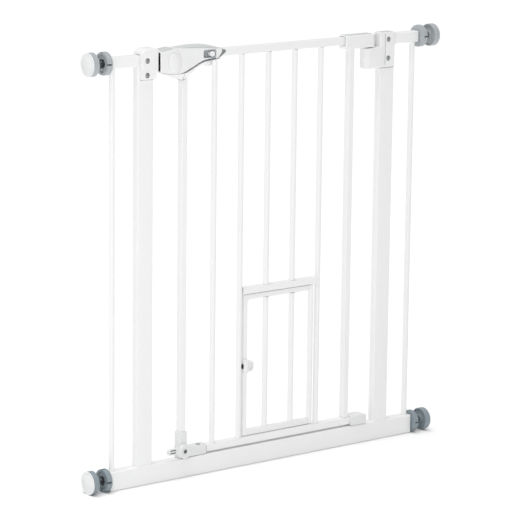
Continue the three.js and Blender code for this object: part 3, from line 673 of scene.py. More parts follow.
def hinge_housing():
    """The barrel that holds the pin, the neck and web behind it, and the sleeve round the post."""
    b = box_of("hinge_housing")
    h = HOUSING
    radius, top, right, corner = h["radius"], h["barrel_top"], h["neck_right"], h["corner"]
    plan = [*arc(HINGE_X, 0, radius, 90, 270, 24), *arc(right - corner, -radius + corner, corner, -90, 0, 4)]
    plan += arc(right - corner, radius - corner, corner, 0, 90, 4)
    body = prism("hinge_housing_barrel", plan, "Z", b.z0, top)
    soften(body, h["edge"], 4)
    neck_plan = round_rect(h["neck_left"], right + 3, -h["neck_half"], h["neck_half"], 2.4)
    neck = prism("neck", neck_plan, "Z", top - 6, b.z1)
    soften(neck, 1.6, 4)
    front, back = -h["sleeve_half"], h["sleeve_half"]
    web = block("web", h["web_left"], h["neck_left"] + 2, 5, back, top - 4, b.z1 - 4)
    plate = fillet([(right - 2, b.z0, 0), (b.x1, b.z0, 5), (b.x1, b.z1, 2.5), (right - 2, b.z1, 0)])
    sleeve = prism("sleeve", plate, "Y", front, back)
    soften(sleeve, 0.9, 3)
    pocket = rod("pocket", "Z", (HINGE_X, 0), b.z0 + 3, top + BEYOND, h["pocket"])
    post = box_of("right_post")
    outside, low = b.x1 + BEYOND, b.z0 - BEYOND
    room = block("post_room", post.x0 - GAP, outside, post.y0 - GAP, post.y1 + GAP, low, post.z1 + GAP)
    recesses = [screw_recess(f"recess_{i}", x, z, front) for i, (x, z) in enumerate(HINGE_SCREWS)]
    g = HOUSING_GROOVE
    groove = block("groove", g["x"], g["x"] + g["width"], -20, front + g["depth"], g["bottom"], g["top"])
    fuse(body, neck, web, sleeve)
    carve(body, pocket, room, groove, *recesses)
    dress(body, "frame", WHITE, "white_plastic", "hinge_housing")
    # Painted shadow: a dark strip under the housing.
    shadow_strip("hinge_housing_shadow_strip", "frame", post, b.x0, b.x1 - 0.6, b.z0)
    # Painted shade: a dark sheet on the web's front, where the gap beside the cap is in shade.
    shade_sheet = block("hinge_gap_shade_sheet", *HOUSING_SHADE_SHEET, top + 0.4, b.z1 - 5)
    dress(soften(shade_sheet, 0.2, 2), "frame", GAP_SHADE, "grey_plastic")
    # Painted shade: a grey strip laid in the groove to darken it.
    strip = block(
        "hinge_housing_groove_shade", g["x"] + 0.1, g["x"] + g["width"] - 0.1, front + 1.0, front + g["depth"] - 0.1,
        g["bottom"] + 0.1, g["top"] - 0.1,
    )
    dress(soften(strip, 0.1, 2), "frame", RECESS_GREY_AND_SHADE, "grey_plastic")
    for level, (x, z) in zip(("upper", "lower"), HINGE_SCREWS):
        screw(f"hinge_screw_{level}", x, z, front)
    # Painted shade on the housing's top.
    top_shade_plate("hinge_housing_top_shade_plate", "frame", round_rect(h["neck_left"] + 2, b.x1 - 1.6, -8.2, 8.2, 3.0), b.z1)


def hinge_inner_parts():
    """The pin and the spring keep their CAD meshes, in dark steel."""
    for node in ("upper_hinge_pin", "closing_spring"):
        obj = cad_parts[node]
        obj.data.materials.clear()
        obj.data.materials.append(DARK_STEEL)


# ---------------------------------------------------------------- screw clamps


def on_clamp(obj, side, centre_z, tube_end):
    """Moves a clamp piece drawn for +X, with x = 0 at the tube's end, to its corner."""
    turn = Matrix.Identity(4) if side == "right" else Matrix.Rotation(math.pi, 4, "Z")
    place = Matrix.Translation((tube_end * MM * (1 if side == "right" else -1), 0, centre_z * MM))
    obj.data.transform(place @ turn)
    return obj


def end_plug(name, half_depth, low, high, bore):
    """A tube's end plug: a thin flange with softened edges and a bore for the spindle."""
    flange = prism(name, round_rect(-half_depth, half_depth, low, high, 2.2), "X", GAP, GAP + 2)
    soften(flange, 0.5, 2)
    insert = prism("insert", round_rect(-half_depth + 2, half_depth - 2, low + 2, high - 2, 1), "X", -19, 1)
    fuse(flange, insert)
    return carve(flange, rod("bore", "X", (0, 0), -25, 5, bore, 32))


def hand_wheel(name, length, radius, bore):
    """A castellated hand nut: ribbed rim, deep notches and a dished face on the wall side."""
    start = WHEEL["start"]
    end = start + length
    ribs = WHEEL["ribs"]
    outline = []
    for i in range(ribs * 6):
        angle = 2 * math.pi * i / (ribs * 6)
        wave = 0.5 + 0.5 * math.cos(ribs * angle)
        rim = radius - WHEEL["rib_height"] * (1 - wave**0.6)
        outline.append((rim * math.cos(angle), rim * math.sin(angle)))
    wheel = prism(name, outline, "X", start, end)
    soften(wheel, 0.5, 2, 60)
    dish = [(0, end - 1.4), (radius - 5.2, end - 1.4), (radius - 4.2, end + 3), (0, end + 3)]
    tools = [rod("bore", "X", (0, 0), start - 5, end + 5, bore, 32), turned("dish", dish, "X")]
    for i in range(WHEEL["notches"]):
        notch = block("notch", start + 2, end + 3, -1.5, 1.5, radius - 8, radius + 3)
        notch.data.transform(Matrix.Rotation(2 * math.pi * i / WHEEL["notches"], 4, "X"))
        tools.append(notch)
    return carve(wheel, *tools)


def wheel_nut(name, end, bore):
    """The steel nut in the middle of a hand wheel, with chamfered corners."""
    hexagon = ellipse(0, 0, 8.6, 8.6, 6)
    nut = prism(name, hexagon, "X", end - 5.2, end + 1.8)
    cone = [(0, end - 8), (10, end - 8), (10, end + 0.7), (7.7, end + 1.8), (0, end + 1.8)]
    combine(nut, [turned("cone", cone, "X")], "INTERSECT")
    return carve(nut, rod("bore", "X", (0, 0), end - 20, end + 5, bore, 32))


def threaded_spindle(name, inner, outer, radius):
    """A screw with a true helical thread."""
    bm = bmesh.new()
    sides = THREAD["sides"]
    step = THREAD["pitch"] / THREAD["steps_per_turn"]
    count = math.floor((outer - inner) / step)
    rings = []
    for k in range(count + 1):
        x = inner + (outer - inner) * k / count
        fade = min(1.0, k / 4, (count - k) / 4)
        ring = []
        for i in range(sides):
            angle = 2 * math.pi * i / sides
            phase = (x / THREAD["pitch"] - i / sides) % 1
            depth = THREAD["depth"] * min(1.0, 2.4 * abs(phase - 0.5)) * fade
            reach = radius - depth
            ring.append(bm.verts.new((x, reach * math.cos(angle), reach * math.sin(angle))))
        rings.append(ring)
    skin(bm, rings)
    bm.faces.new(rings[0])
    bm.faces.new(rings[-1])
    return to_object(name, bm)


def cup_profile(inner, rim, lip):
    """The pad cup: a hollow boss, a sloping back and a cylindrical rim that holds the pad."""
    shoulder = inner + 2.4
    return [
        (0, inner + 6), (5.3, inner + 6), (5.3, inner), (7.6, inner), (8.5, inner + 0.8), (8.8, inner + 4.0),
        (10.0, inner + 4.8), (rim - 3.0, inner + 4.8), (rim - 2.2, inner + 4.0), (rim - 2.0, shoulder),
        (rim - 0.7, shoulder), (rim, shoulder + 0.8), (rim, lip - 0.3), (rim - 0.3, lip), (rim - 1.6, lip),
        (rim - 1.6, lip - 2.0), (0, lip - 2.0),
    ]


def pad_profile(start, end, radius):
    """The wall pad: a soft disc with a rounded edge and a shallow ring on its face."""
    bend = 0.9
    turns = (1.5, 1.2, 0.9, 0.6, 0.3, 0)
    edge = [(radius - bend + bend * math.sin(a), end - bend + bend * math.cos(a)) for a in turns]
    face = [(radius - 3.0, end), (radius - 3.3, end - 0.25), (radius - 3.7, end - 0.25), (radius - 4.0, end)]
    back = [(0, start), (radius - 1.8, start), (radius - 1.8, end - 1.5), (radius, end - 1.5)]
    return [*back, *edge, *face, (0, end)]


def clamp(level, side):
    """One corner's end plug, hand wheel, spindle, cup and pad."""
    tag = f"{level}_{side}"
    bore = WHEEL["bore"]
    # The lower clamps get the darker copy of the grey: painted shade.
    grey = GREY_UPPER if level == "upper" else GREY_LOWER_SHADED
    arm = box_of("base_tube") if level == "lower" else box_of(f"{side}_upper_arm")
    tube_end = max(abs(arm.x0), abs(arm.x1))
    wheel, cup, pad = (box_of(f"{part}_{tag}") for part in ("hand_wheel", "pad_cup", "wall_pad"))
    spindle = box_of(f"spindle_{tag}")
    centre_z = (spindle.z0 + spindle.z1) / 2
    wheel_length = wheel.x1 - wheel.x0 - 1.8
    wheel_radius = (wheel.z1 - wheel.z0) / 2
    cup_inner = min(abs(cup.x0), abs(cup.x1)) - tube_end
    pad_outer = max(abs(pad.x0), abs(pad.x1)) - tube_end
    spindle_inner = min(abs(spindle.x0), abs(spindle.x1)) - tube_end
    spindle_outer = max(abs(spindle.x0), abs(spindle.x1)) - tube_end

    def place(obj, body, material, slot, node):
        return dress(on_clamp(obj, side, centre_z, tube_end), body, material, slot, node)

    plug = end_plug(f"end_plug_{tag}_cap", arm.y1, arm.z0 - centre_z, arm.z1 - centre_z, bore)
    place(plug, "frame", grey, "grey_plastic", f"end_plug_{tag}")
    rim = hand_wheel(f"hand_wheel_{tag}_rim", wheel_length, wheel_radius, bore)
    place(rim, f"wheel_{tag}", grey, "grey_plastic", f"hand_wheel_{tag}")
    nut = wheel_nut(f"hand_wheel_{tag}_nut", WHEEL["start"] + wheel_length, bore)
    on_clamp(nut, side, centre_z, tube_end)
    dress(nut, f"wheel_{tag}", DARK_STEEL, "dark_steel", smooth=30)
    screw_body = threaded_spindle(f"spindle_{tag}_thread", spindle_inner, spindle_outer, THREAD["radius"])
    place(screw_body, f"clamp_{tag}", DARK_STEEL, "dark_steel", f"spindle_{tag}")
    profile = cup_profile(cup_inner, cup.y1 - 0.05, pad_outer - 1.6)
    cup_piece = turned(f"pad_cup_{tag}_cup", profile, "X", sides=64)
    place(cup_piece, f"clamp_{tag}", grey, "grey_plastic", f"pad_cup_{tag}")
    profile = pad_profile(pad_outer - 3.4, pad_outer, cup.y1 - 0.15)
    pad_piece = turned(f"wall_pad_{tag}_pad", profile, "X", sides=64)
    place(pad_piece, f"clamp_{tag}", RUBBER, "pad_rubber", f"wall_pad_{tag}")


# ---------------------------------------------------------------- hinge mouldings on the door


def rail_room(low_x, high_x, rail):
    """A cutter that clears a rail by the gap all round."""
    return block("rail_room", low_x, high_x, rail.y0 - GAP, rail.y1 + GAP, rail.z0 - GAP, rail.z1 + GAP)


def hinge_cap():
    b = box_of("hinge_cap")
    rail = box_of("door_top_rail")
    stile = box_of("hinge_stile")
    edge = CAP["corner"]
    right = b.x1 + CAP["reach"]
    plan = [(b.x0, b.y1), (b.x0, b.y0), *arc(right - edge, b.y0 + edge, edge, -90, 0, 7)]
    plan += arc(right - edge, b.y1 - edge, edge, 0, 90, 7)
    obj = prism("hinge_cap_moulding", plan, "Z", b.z0, b.z1)
    soften(obj, CAP["edge"], 4)
    mouth = CAP["mouth"]
    flare = block(
        "mouth", b.x0 - 2, b.x0 + 3, rail.y0 - mouth, rail.y1 + mouth, rail.z0 - mouth, rail.z1 + mouth * 0.7
    )
    stile_room = room_round(stile, b.z0 - BEYOND, stile.z1 + 1)
    bore = rod("bore", "Z", (HINGE_X, 0), b.z0 - BEYOND, CAP["bore_top"], CAP["bore"])
    carve(obj, rail_room(b.x0 - BEYOND, rail.x1 + GAP, rail), flare, stile_room, bore)
    dress(obj, "door", WHITE, "white_plastic", "hinge_cap")
    # Painted shade on the cap's top.
    top_shade_plate("hinge_cap_top_shade_plate", "door", round_rect(b.x0 + 1.8, b.x1 - 2, b.y0 + 1.8, b.y1 - 1.8, 3.6), b.z1)


def hinge_shoe():
    b = box_of("lower_hinge_shoe")
    rail = box_of("door_bottom_rail")
    low = rail.z0 - 2
    arch = SHOE["arch"]
    middle = (b.x0 + b.x1) / 2
    crest = [(b.x1, b.z1 - arch), (middle + 6, b.z1), (middle - 4, b.z1 - 0.3), (b.x0, b.z1 - arch * 1.4)]
    top = flowing(crest)
    obj = prism("lower_hinge_shoe_moulding", [(b.x0, low), (b.x1, low), *top], "Y", b.y0, b.y1)
    soften(obj, SHOE["edge"], 4)
    pin = rod("pin", "Z", (HINGE_X, 0), b.z0, low + 2, 4.0)
    carve(obj, rail_room(b.x0 - BEYOND, rail.x1 + GAP, rail))
    fuse(obj, pin)
    dress(obj, "door", FOOT_WHITE, "white_plastic", "lower_hinge_shoe")


# ---------------------------------------------------------------- foot and lever


def lever_axis():
    """Where the foot lever turns, as x and z."""
    b = box_of("foot_lever")
    return b.x1 - LEVER["radius"], b.z0 + LEVER["radius"]


def foot_port(name, top):
    """The cutter for the oval port in the top of the foot."""
    place = (PORT["x"], PORT["y"])
    port = turned(name, [(0, top - 4), (1, top - 4), (1, top + 3), (0, top + 3)], "Z", place)
    move = Matrix.Translation((PORT["x"] * MM, PORT["y"] * MM, 0))
    size = Matrix.Diagonal((PORT["half_width"], PORT["half_depth"], 1, 1))
    port.data.transform(move @ size @ move.inverted())
    return port


def corner_foot():
    """The foot's stem and its arm along the rail, with its screw, and the dark port floor and end strip that
    are painted shade.
    """
    b = box_of("corner_foot")
    rail = box_of("door_bottom_rail")
    stile = box_of("latch_stile")
    depth = FOOT["depth"]
    plan = round_rect(b.x0, stile.x1 + FOOT["stem_reach"], -depth, depth, 2.6)
    upright = prism("corner_foot_moulding", plan, "Z", FOOT["stem_bottom"], b.z1)
    soften(upright, 0.9, 3)
    low = rail.z0 - 2
    top = rail.z1 + 2.2
    side = [(-depth, low, 1.0), (depth, low, 1.0), (depth, top, 1.5)]
    side += [(-depth + 3.6, top, 2.0), (-depth, top - 4.4, 2.0)]
    along = prism("along", fillet(side), "X", b.x0, b.x1)
    soften(along, 0.8, 2, 50)
    axis = lever_axis()
    boss = rod("boss", "Y", axis, FOOT["boss_front"], -depth + 1, FOOT["boss"])
    bolt_hole = rod("hole", "Y", axis, -20, FOOT["screw_front"], 3.9, 32)
    port = foot_port("port", top)
    fuse(upright, along, boss)
    stile_room = room_round(stile, rail.z1, b.z1 + BEYOND)
    carve(upright, rail_room(rail.x0 - GAP, b.x1 + BEYOND, rail), stile_room, bolt_hole, port)
    dress(upright, "door", FOOT_WHITE, "white_plastic", "corner_foot")
    # Painted shade: a dark floor sunk in the oval port.
    inset = PORT["inset"]
    oval = ellipse(PORT["x"], PORT["y"], PORT["half_width"] - inset, PORT["half_depth"] - inset, 40)
    port_floor = prism("corner_foot_port_shade", oval, "Z", top - 1.5, top - 1.0)
    dress(port_floor, "door", HOLE_SHADE, "grey_plastic")
    # Painted shadow: a dark strip where the foot's end meets the rail.
    section = [(-depth + 0.9, low + 0.8, 0.8), (depth - 0.9, low + 0.8, 0.8), (depth - 0.9, top - 0.9, 1.0)]
    section += [(-depth + 4.1, top - 0.9, 1.5), (-depth + 0.9, top - 5.0, 1.5)]
    end_shadow_strip = prism("corner_foot_end_shadow_strip", fillet(section), "X", b.x1 - 1.0, b.x1 + 0.9)
    carve(end_shadow_strip, rail_room(rail.x0 - GAP, b.x1 + BEYOND, rail))
    dress(end_shadow_strip, "door", GAP_SHADE, "grey_plastic")
    head = [(0, -12.7), (3.6, -12.7), (3.6, -13.2), (3.0, -13.7), (0, -13.8)]
    pivot = turned("foot_lever_screw", head, "Y", axis, 28)
    dress(pivot, "door", DARK_STEEL, "dark_steel", smooth=30)


def lever_slot(name, sign, shrink, front, back):
    """The space of one slot in the lever's tab, or, when shrunk, the dark floor of painted shade that fills
    it.
    """
    x, z = lever_axis()
    middle = z + LEVER["lift"] + sign * LEVER["slot_offset"]
    half = LEVER["slot_half"] - shrink
    left, right = x - LEVER_SLOT["far"] + shrink, x - LEVER_SLOT["near"] - shrink
    return prism(name, round_rect(left, right, middle - half, middle + half, 1.0, 4), "Y", front, back)


def foot_lever():
    """The disc that turns on the foot's boss, and its slotted tab."""
    b = box_of("foot_lever")
    radius, half = LEVER["radius"], LEVER["half_tab"]
    x, z = lever_axis()
    front, back = b.y0, b.y1
    profile = [
        (0, back), (radius, back), (radius, front + 1.4), (radius - 1.4, front), (radius - 3.4, front + 0.2),
        (radius - 4.0, front + 1.2), (0, front + 1.2),
    ]
    disc = turned("foot_lever_disc", profile, "Y", (x, z), 56)
    lift = z + LEVER["lift"]
    outline = [(x, lift - half), (x, lift + half), *arc(b.x0 + half, lift, half, 90, 270, 16)]
    tab = prism("tab", outline, "Y", -13.6, back)
    soften(tab, 0.9, 3)
    fuse(disc, tab)
    floor = LEVER_SLOT["floor"]
    tools = [rod("bore", "Y", (x, z), front - BEYOND, back + BEYOND, 5.3)]
    tools += [lever_slot("slot", sign, 0.0, front - BEYOND, floor) for sign in (-1, 1)]
    carve(disc, *tools)
    dress(disc, "lever", FOOT_WHITE, "white_plastic", "foot_lever")
    # Painted shade: dark floors in the tab's two slots.
    for sign, level in ((-1, "lower"), (1, "upper")):
        slot = lever_slot(f"foot_lever_{level}_slot", sign, LEVER_SLOT["shrink"], floor - 0.8, floor + 0.2)
        dress(slot, "lever", HOLE_SHADE, "grey_plastic")


# ---------------------------------------------------------------- handle

# Most points of CHIN and PARTING_LINE, and a few of S_CURVE, come from a scratch program that turned
# places in the photo into millimetres.

# Lower edges of the handle: the chin under the nose, then the curve from the collar up to the tail.
CHIN = ((NOSE_X, 728.6), (-233.0, 725.0), (-221.3, 720.6), (-211.2, 717.1), (-202.7, 713.8), (-193.4, 711.2))
S_CURVE = (
    (-189.5, 711.6), (-186.4, 713.2), (-183.0, 716.0), (-178.4, 720.6), (-170.0, 727.0), (-160.0, 733.0),
    (-151.5, 736.8), (-141.0, 740.0), (-131.0, 741.6), (-121.0, 742.4), (-114.0, 743.4),
)
# The parting line between the front cover and the body, whose chin and lower band stay in sight.
PARTING_LINE = (
    (NOSE_X, 728.9), (-237.6, 726.9), (-225.9, 724.2), (-214.1, 722.7), (-205.6, 722.3), (-197.2, 723.1),
    (-189.6, 724.9), (-182.0, 727.9), (-171.8, 732.4), (-161.6, 737.3), (-151.4, 741.0), (-141.1, 742.8),
    (-130.8, 743.6), (-122.0, 744.4),
)
PARTING = {"narrow": 0.3, "wide": 1.9, "from": -203.0, "to": -185.0}
TAIL = ((-113.5, 745.2), (-101.0, 753.6))
CROWN = (
    (-101.0, 756.8), (-106.0, 759.8), (-114.0, 760.9), (-124.0, 761.3), (-134.0, 762.2), (-149.0, 763.6),
    (-166.0, 764.8), (-190.0, 766.1), (-203.5, 767.0),
)
NOSE_TOP = (
    (-208.4, 768.0), (-216.0, 767.6), (-226.0, 766.4), (-236.0, 765.2), (-241.4, 764.0), (NOSE_X, 762.2),
)
COVER_TAIL = ((-120.8, 745.6), (-116.6, 749.4), (-112.8, 754.8), (-112.6, 758.4))
COVER_CROWN = ((-114.6, 760.7), *CROWN[3:8])
COVER_NOSE = (
    (-203.5, 767.4), (-210.0, 767.8), (-216.0, 767.4), (-221.0, 766.0), (-234.0, 764.4), (-241.4, 763.4),
    (NOSE_X, 762.0),
)
GRIP_CREST = (
    (-206.0, 767.3), (-197.0, 768.4), (-184.0, 769.8), (-172.0, 770.4), (-158.0, 770.4), (-147.0, 769.7),
    (-137.0, 768.2), (-128.0, 766.2), (-119.0, 763.6), (-110.0, 761.1),
)
GRIP_RINGS = 84
GRIP_RIB = 0.22
# The round boss behind the oval disc: its centre and radius.
BOSS = {"x": -229.5, "z": 744.0, "radius": 29.6}
# Cross-section that the whole top is trimmed to: (y, z), highest in the middle.
TOP_TRIM = (
    (-19.8, 760.4), (-18.8, 764.4), (-15.6, 766.9), (-12.5, 767.6), (-6.0, 768.6), (0.0, 769.0), (5.0, 768.8),
    (10.0, 768.2), (13.0, 767.2), (15.0, 765.0), (16.2, 761.0), (17.0, 757.0),
)
NOSE_MOUTH = {"half_depth": 15.0, "bottom": 729.8, "top": 762.0, "depth": 8.0}
REAR_LUMP = {"x": -124.5, "z": 737.2, "width": 13.5, "height": 9.6, "front": 6.0, "back": 15.0}


# Half of the taper that narrows the chin to the stile, seen from the side: (y, z) from the middle out.
CHIN_TAPER = ((9.2, 700), (9.2, 712.2), (12.6, 719))


def body_outline():
    return [*flowing(CHIN, 5), *flowing(S_CURVE, 5), *TAIL, *flowing(CROWN, 4), *flowing(NOSE_TOP, 5)]


def half_parting(x):
    """Half the gap between the cover and the body: a hairline under the nose, open along the curve."""
    blend = (x - PARTING["from"]) / (PARTING["to"] - PARTING["from"])
    return PARTING["narrow"] + (PARTING["wide"] - PARTING["narrow"]) * min(1.0, max(0.0, blend))


def parted_edge(side):
    """The cover's side (+1) or the body's side (-1) of the parting."""
    return [(x, z + side * half_parting(x)) for x, z in flowing(PARTING_LINE, 5)]


def cover_outline():
    return [*parted_edge(1), *flowing(COVER_TAIL, 4), *flowing(COVER_CROWN, 4), *flowing(COVER_NOSE, 5)]


def trim_top(obj, lift=0.0):
    profile = [(-20.6, 690), (-20.6, 757.5), *((y, z + lift) for y, z in flowing(TOP_TRIM, 5)), (20.6, 690)]
    return combine(obj, [prism("top_trim", profile, "X", -250, -90)], "INTERSECT")


def bolt_channel():
    b = box_of("latch_bolt")
    play = 0.6
    return block("bolt_channel", -250, -190, b.y0 - play, b.y1 + play, b.z0 - play, b.z1 + play)


def nose_mouth():
    """The cutter for the opening in the nose that the bolt comes out of."""
    m = NOSE_MOUTH
    left, right = AROUND_HANDLE["left"], NOSE_X + m["depth"]
    return block("mouth", left, right, -m["half_depth"], m["half_depth"], m["bottom"], m["top"])


def chin_cutters():
    """Cutters for the front and back of the chin's taper."""
    cutters = []
    for side, shoulder, top in ((-1, 15, 724), (1, 15.6, 726)):
        half = [(30, AROUND_HANDLE["low"]), *CHIN_TAPER, (shoulder, top), (30, top)]
        outline = [(side * y, z) for y, z in half]
        cutters.append(prism("chin", outline, "X", AROUND_HANDLE["left"], AROUND_HANDLE["right"]))
    return cutters


def handle_body():
    """The rear shell, with the chin and the band that frame the cover."""
    rail = box_of("door_top_rail")
    stile = box_of("latch_stile")
    bar = box_of("door_bar_1")
    obj = prism("handle_rear_body", body_outline(), "Y", -HANDLE_DEPTH + 0.9, HANDLE_DEPTH)
    soften(obj, 2.6, 5, 50)
    trim_top(obj)
    lump = turned(
        "lump",
        [(0, 0), (0.6, 0), (0.9, 0.25), (1, 0.6), (1, 1.4), (0.9, 1.75), (0.6, 2), (0, 2)],
        "Y",
        sides=48,
    )
    size = REAR_LUMP
    half_depth = (size["back"] - size["front"]) / 2
    place_scaled(lump, (size["x"], size["front"], size["z"]), (size["width"], half_depth, size["height"]))
    fuse(obj, lump)
    left, right, front = AROUND_HANDLE["left"], AROUND_HANDLE["right"], AROUND_HANDLE["front"]
    lower = parted_edge(-1)
    seat_outline = [*lower, (-115.5, 743.6), (-95, 750), (-95, 790), (left, 790), (left, lower[0][1])]
    seat = prism("seat", seat_outline, "Y", front, -HANDLE_DEPTH + COVER_DEPTH)
    edge_line = block("edge_line", stile.x0 - 0.9, stile.x0 + 0.4, front, -stile.y1 - 0.9, 708, 722.5)
    neck_room = block("neck_room", -206.2, -193.8, -3.6, 3.6, 749, 775)
    bar_room = rod("bar_room", "Z", ((bar.x0 + bar.x1) / 2, 0), 725, bar.z1 + GAP, 5.4)
    low = AROUND_HANDLE["low"]
    carve(obj, seat)
    carve(obj, *chin_cutters(), edge_line)
    carve(obj, nose_mouth())
    carve(obj, rail_room(stile.x0 - GAP, right, rail))
    carve(obj, room_round(stile, low, stile.z1 + 1), bolt_channel(), neck_room, bar_room)
    carve(obj, lock_recess("lock_room", 0.1, front, LOCK["track"] + 0.7))
    dress(obj, "door", WHITE, "white_plastic", "handle_rear_shell")
    # Painted shadow: a dark strip along the collar's lower edge.
    collar_outline = [
        (-191.8, 710.3), (-189.2, 710.6), (-186.0, 712.2), (-182.6, 715.0), (-178.0, 719.5), (-178.0, 722.0),
        (-191.8, 722.0),
    ]
    collar = prism("handle_collar_shadow_strip", collar_outline, "Y", -8.7, 8.7)
    carve(collar, room_round(stile, low, stile.z1 + 1))
    dress(collar, "door", GAP_SHADE, "grey_plastic")


def lock_recess(name, grow, front, back):
    """The space of the lock's recess in the handle's front, grown by a margin."""
    left, right, low, high = LOCK_RECESS
    outline = round_rect(left - grow, right + grow, low - grow, high + grow, LOCK["corner"] + grow)
    return prism(name, outline, "Y", front, back)


def handle_cover():
    """The front cover: the panel, the nose boss and its oval disc, and the lock's recess."""
    front = -HANDLE_DEPTH
    back = front + COVER_DEPTH - GAP
    obj = prism("handle_front_cover", cover_outline(), "Y", front, back)
    soften(obj, 1.8, 5, 50)
    centre = (BOSS["x"], BOSS["z"])
    dome = [(BOSS["radius"], front + 2)]
    swell = NOSE_FRONT - HANDLE_DEPTH
    for i in range(16, -1, -1):
        reach = i / 16
        dome.append((BOSS["radius"] * reach, front - 0.1 - swell * (1 - reach**2.4) ** 0.7))
    nose = turned("nose", [(0, front + 2), *dome], "Y", centre, sides=112)
    trim = soften(prism("nose_trim", cover_outline(), "Y", -NOSE_FRONT - 0.05, 0), 1.8, 5, 50)
    combine(nose, [trim], "INTERSECT")
    foot_line = turned(
        "foot_line",
        [(BOSS["radius"] + r, front + d) for r, d in ((-0.1, 1.1), (1.5, 1.1), (1.5, -1), (-0.1, -1))],
        "Y",
        centre,
        sides=112,
        closed=True,
    )
    carve(obj, foot_line)
    pillow = [(math.cos(a / 10), 1.9 - 1.9 * math.sin(a / 10) ** 0.8) for a in range(1, 15)]
    disc = turned("disc", [(0, 4), (1, 4), (1, 1.9), *pillow, (0, 0)], "Y", sides=64)
    place_scaled(disc, (DISC["x"], -DISC["front"], DISC["z"]), (DISC["width"], 1, DISC["height"]))
    seat_outline = ellipse(DISC["x"], DISC["z"], DISC["width"] + 0.7, DISC["height"] + 0.7, 64)
    ditch = prism("ditch", seat_outline, "Y", AROUND_HANDLE["front"], -DISC["front"] + 1.7)
    fuse(obj, nose)
    carve(obj, ditch)
    fuse(obj, disc)
    trim_top(obj)
    carve(obj, lock_recess("recess", 0.0, front - BEYOND, back + BEYOND), nose_mouth())
    dress(obj, "door", COVER, "white_plastic", "handle_front_shell")


def handle_grey_and_shade_pieces():
    """The handle's darker pieces: the lock recess's floor, its own grey plastic made darker as painted shade,
    and painted shade and shadow in the nose's mouth, the tail's wedge, the parting gap and the nose's top
    band.
    """
    # The lock recess's floor: its own grey plastic, made darker as painted shade in the recess.
    floor_front = -HANDLE_DEPTH + 2.4
    floor = lock_recess("lock_recess_floor", -0.15, floor_front, LOCK["track"] + 0.6)
    knob_room = round_rect(*KNOB_ROOM, 5.0)
    carve(floor, prism("knob_track", knob_room, "Y", AROUND_HANDLE["front"], LOCK["track"]))
    dress(soften(floor, 0.3, 2, 50), "door", RECESS_GREY_AND_SHADE, "grey_plastic")
    # Painted shade: a dark lining inside the nose's mouth, where the gap by the strike is in shade.
    m = NOSE_MOUTH
    inner = m["half_depth"] - 0.9
    outer = m["half_depth"] - 0.1
    outer_ring = round_rect(-outer, outer, m["bottom"] + 0.1, m["top"] - 0.1, 1.5)
    inner_ring = round_rect(-inner, inner, m["bottom"] + 0.9, m["top"] - 0.9, 1.0)
    deep = NOSE_X - 0.1 + m["depth"]
    mouth_shade = tube("nose_mouth_shade_lining", outer_ring, inner_ring, "X", NOSE_X + 0.6, deep)
    plate = prism("plate", outer_ring, "X", deep - 0.8, deep)
    fuse(mouth_shade, plate)
    carve(mouth_shade, bolt_channel())
    dress(mouth_shade, "door", HOLE_SHADE, "grey_plastic")
    # Painted shadow: the dark wedge that the tail casts on the rail.
    rail = box_of("door_top_rail")
    wedge = [(-118.0, 745.8, 0.6), (-113.2, 745.6, 0.6), (-101.4, 754.0, 0.8), (-102.6, 757.4, 0.8)]
    wedge.append((-111.6, 758.6, 0.8))
    shade_sheet = prism("handle_tail_shade_sheet", fillet(wedge), "Y", -12.4, rail.y0 - GAP)
    dress(soften(shade_sheet, 0.4, 2, 50), "door", GAP_SHADE, "grey_plastic")
    # Painted shade: a dark strip in the parting gap.
    seam_left = -233
    lower = [(x, z) for x, z in parted_edge(-1) if x > seam_left]
    upper = [(x, z + 1.2) for x, z in parted_edge(1) if x > seam_left]
    seat = -HANDLE_DEPTH + COVER_DEPTH
    seam = prism("handle_parting_shade_sheet", [*lower, *reversed(upper)], "Y", seat - 0.28, seat + 0.4)
    dress(seam, "door", SHADE, "grey_plastic")
    # Painted shade: a grey band on the nose's top.
    top = [(x, z) for x, z in flowing(NOSE_TOP, 5) if -239.5 < x < -214.0]
    under = [(x, z - 2.5) for x, z in reversed(top)]
    band = prism("nose_top_shade_band", [(x, z + 0.4) for x, z in top] + under, "Y", -15.2, 12.0)
    trim_top(band, 0.3)
    dress(soften(band, 0.2, 2, 50), "door", TOP_SHADE, "grey_plastic")


def height_at(line, x):
    """The height of a line of (x, z) points, left to right, at a place along it."""
    for (x0, z0), (x1, z1) in zip(line, line[1:]):
        if x <= x1:
            return z0 + (z1 - z0) * max(0.0, (x - x0) / (x1 - x0))
    return line[-1][1]


def arched_ring(x, half_width, low, high, sides=18):
    """One cross-section of the release slide's pad: flat below, arched above."""
    ring = [Vector((x, -half_width, low)), Vector((x, half_width, low))]
    for i in range(sides + 1):
        y = half_width * math.cos(math.pi * i / sides)
        lift = math.sin(math.pi * i / sides) ** 0.75
        ring.append(Vector((x, y, low + 0.5 + (high - low - 0.5) * lift)))
    return ring


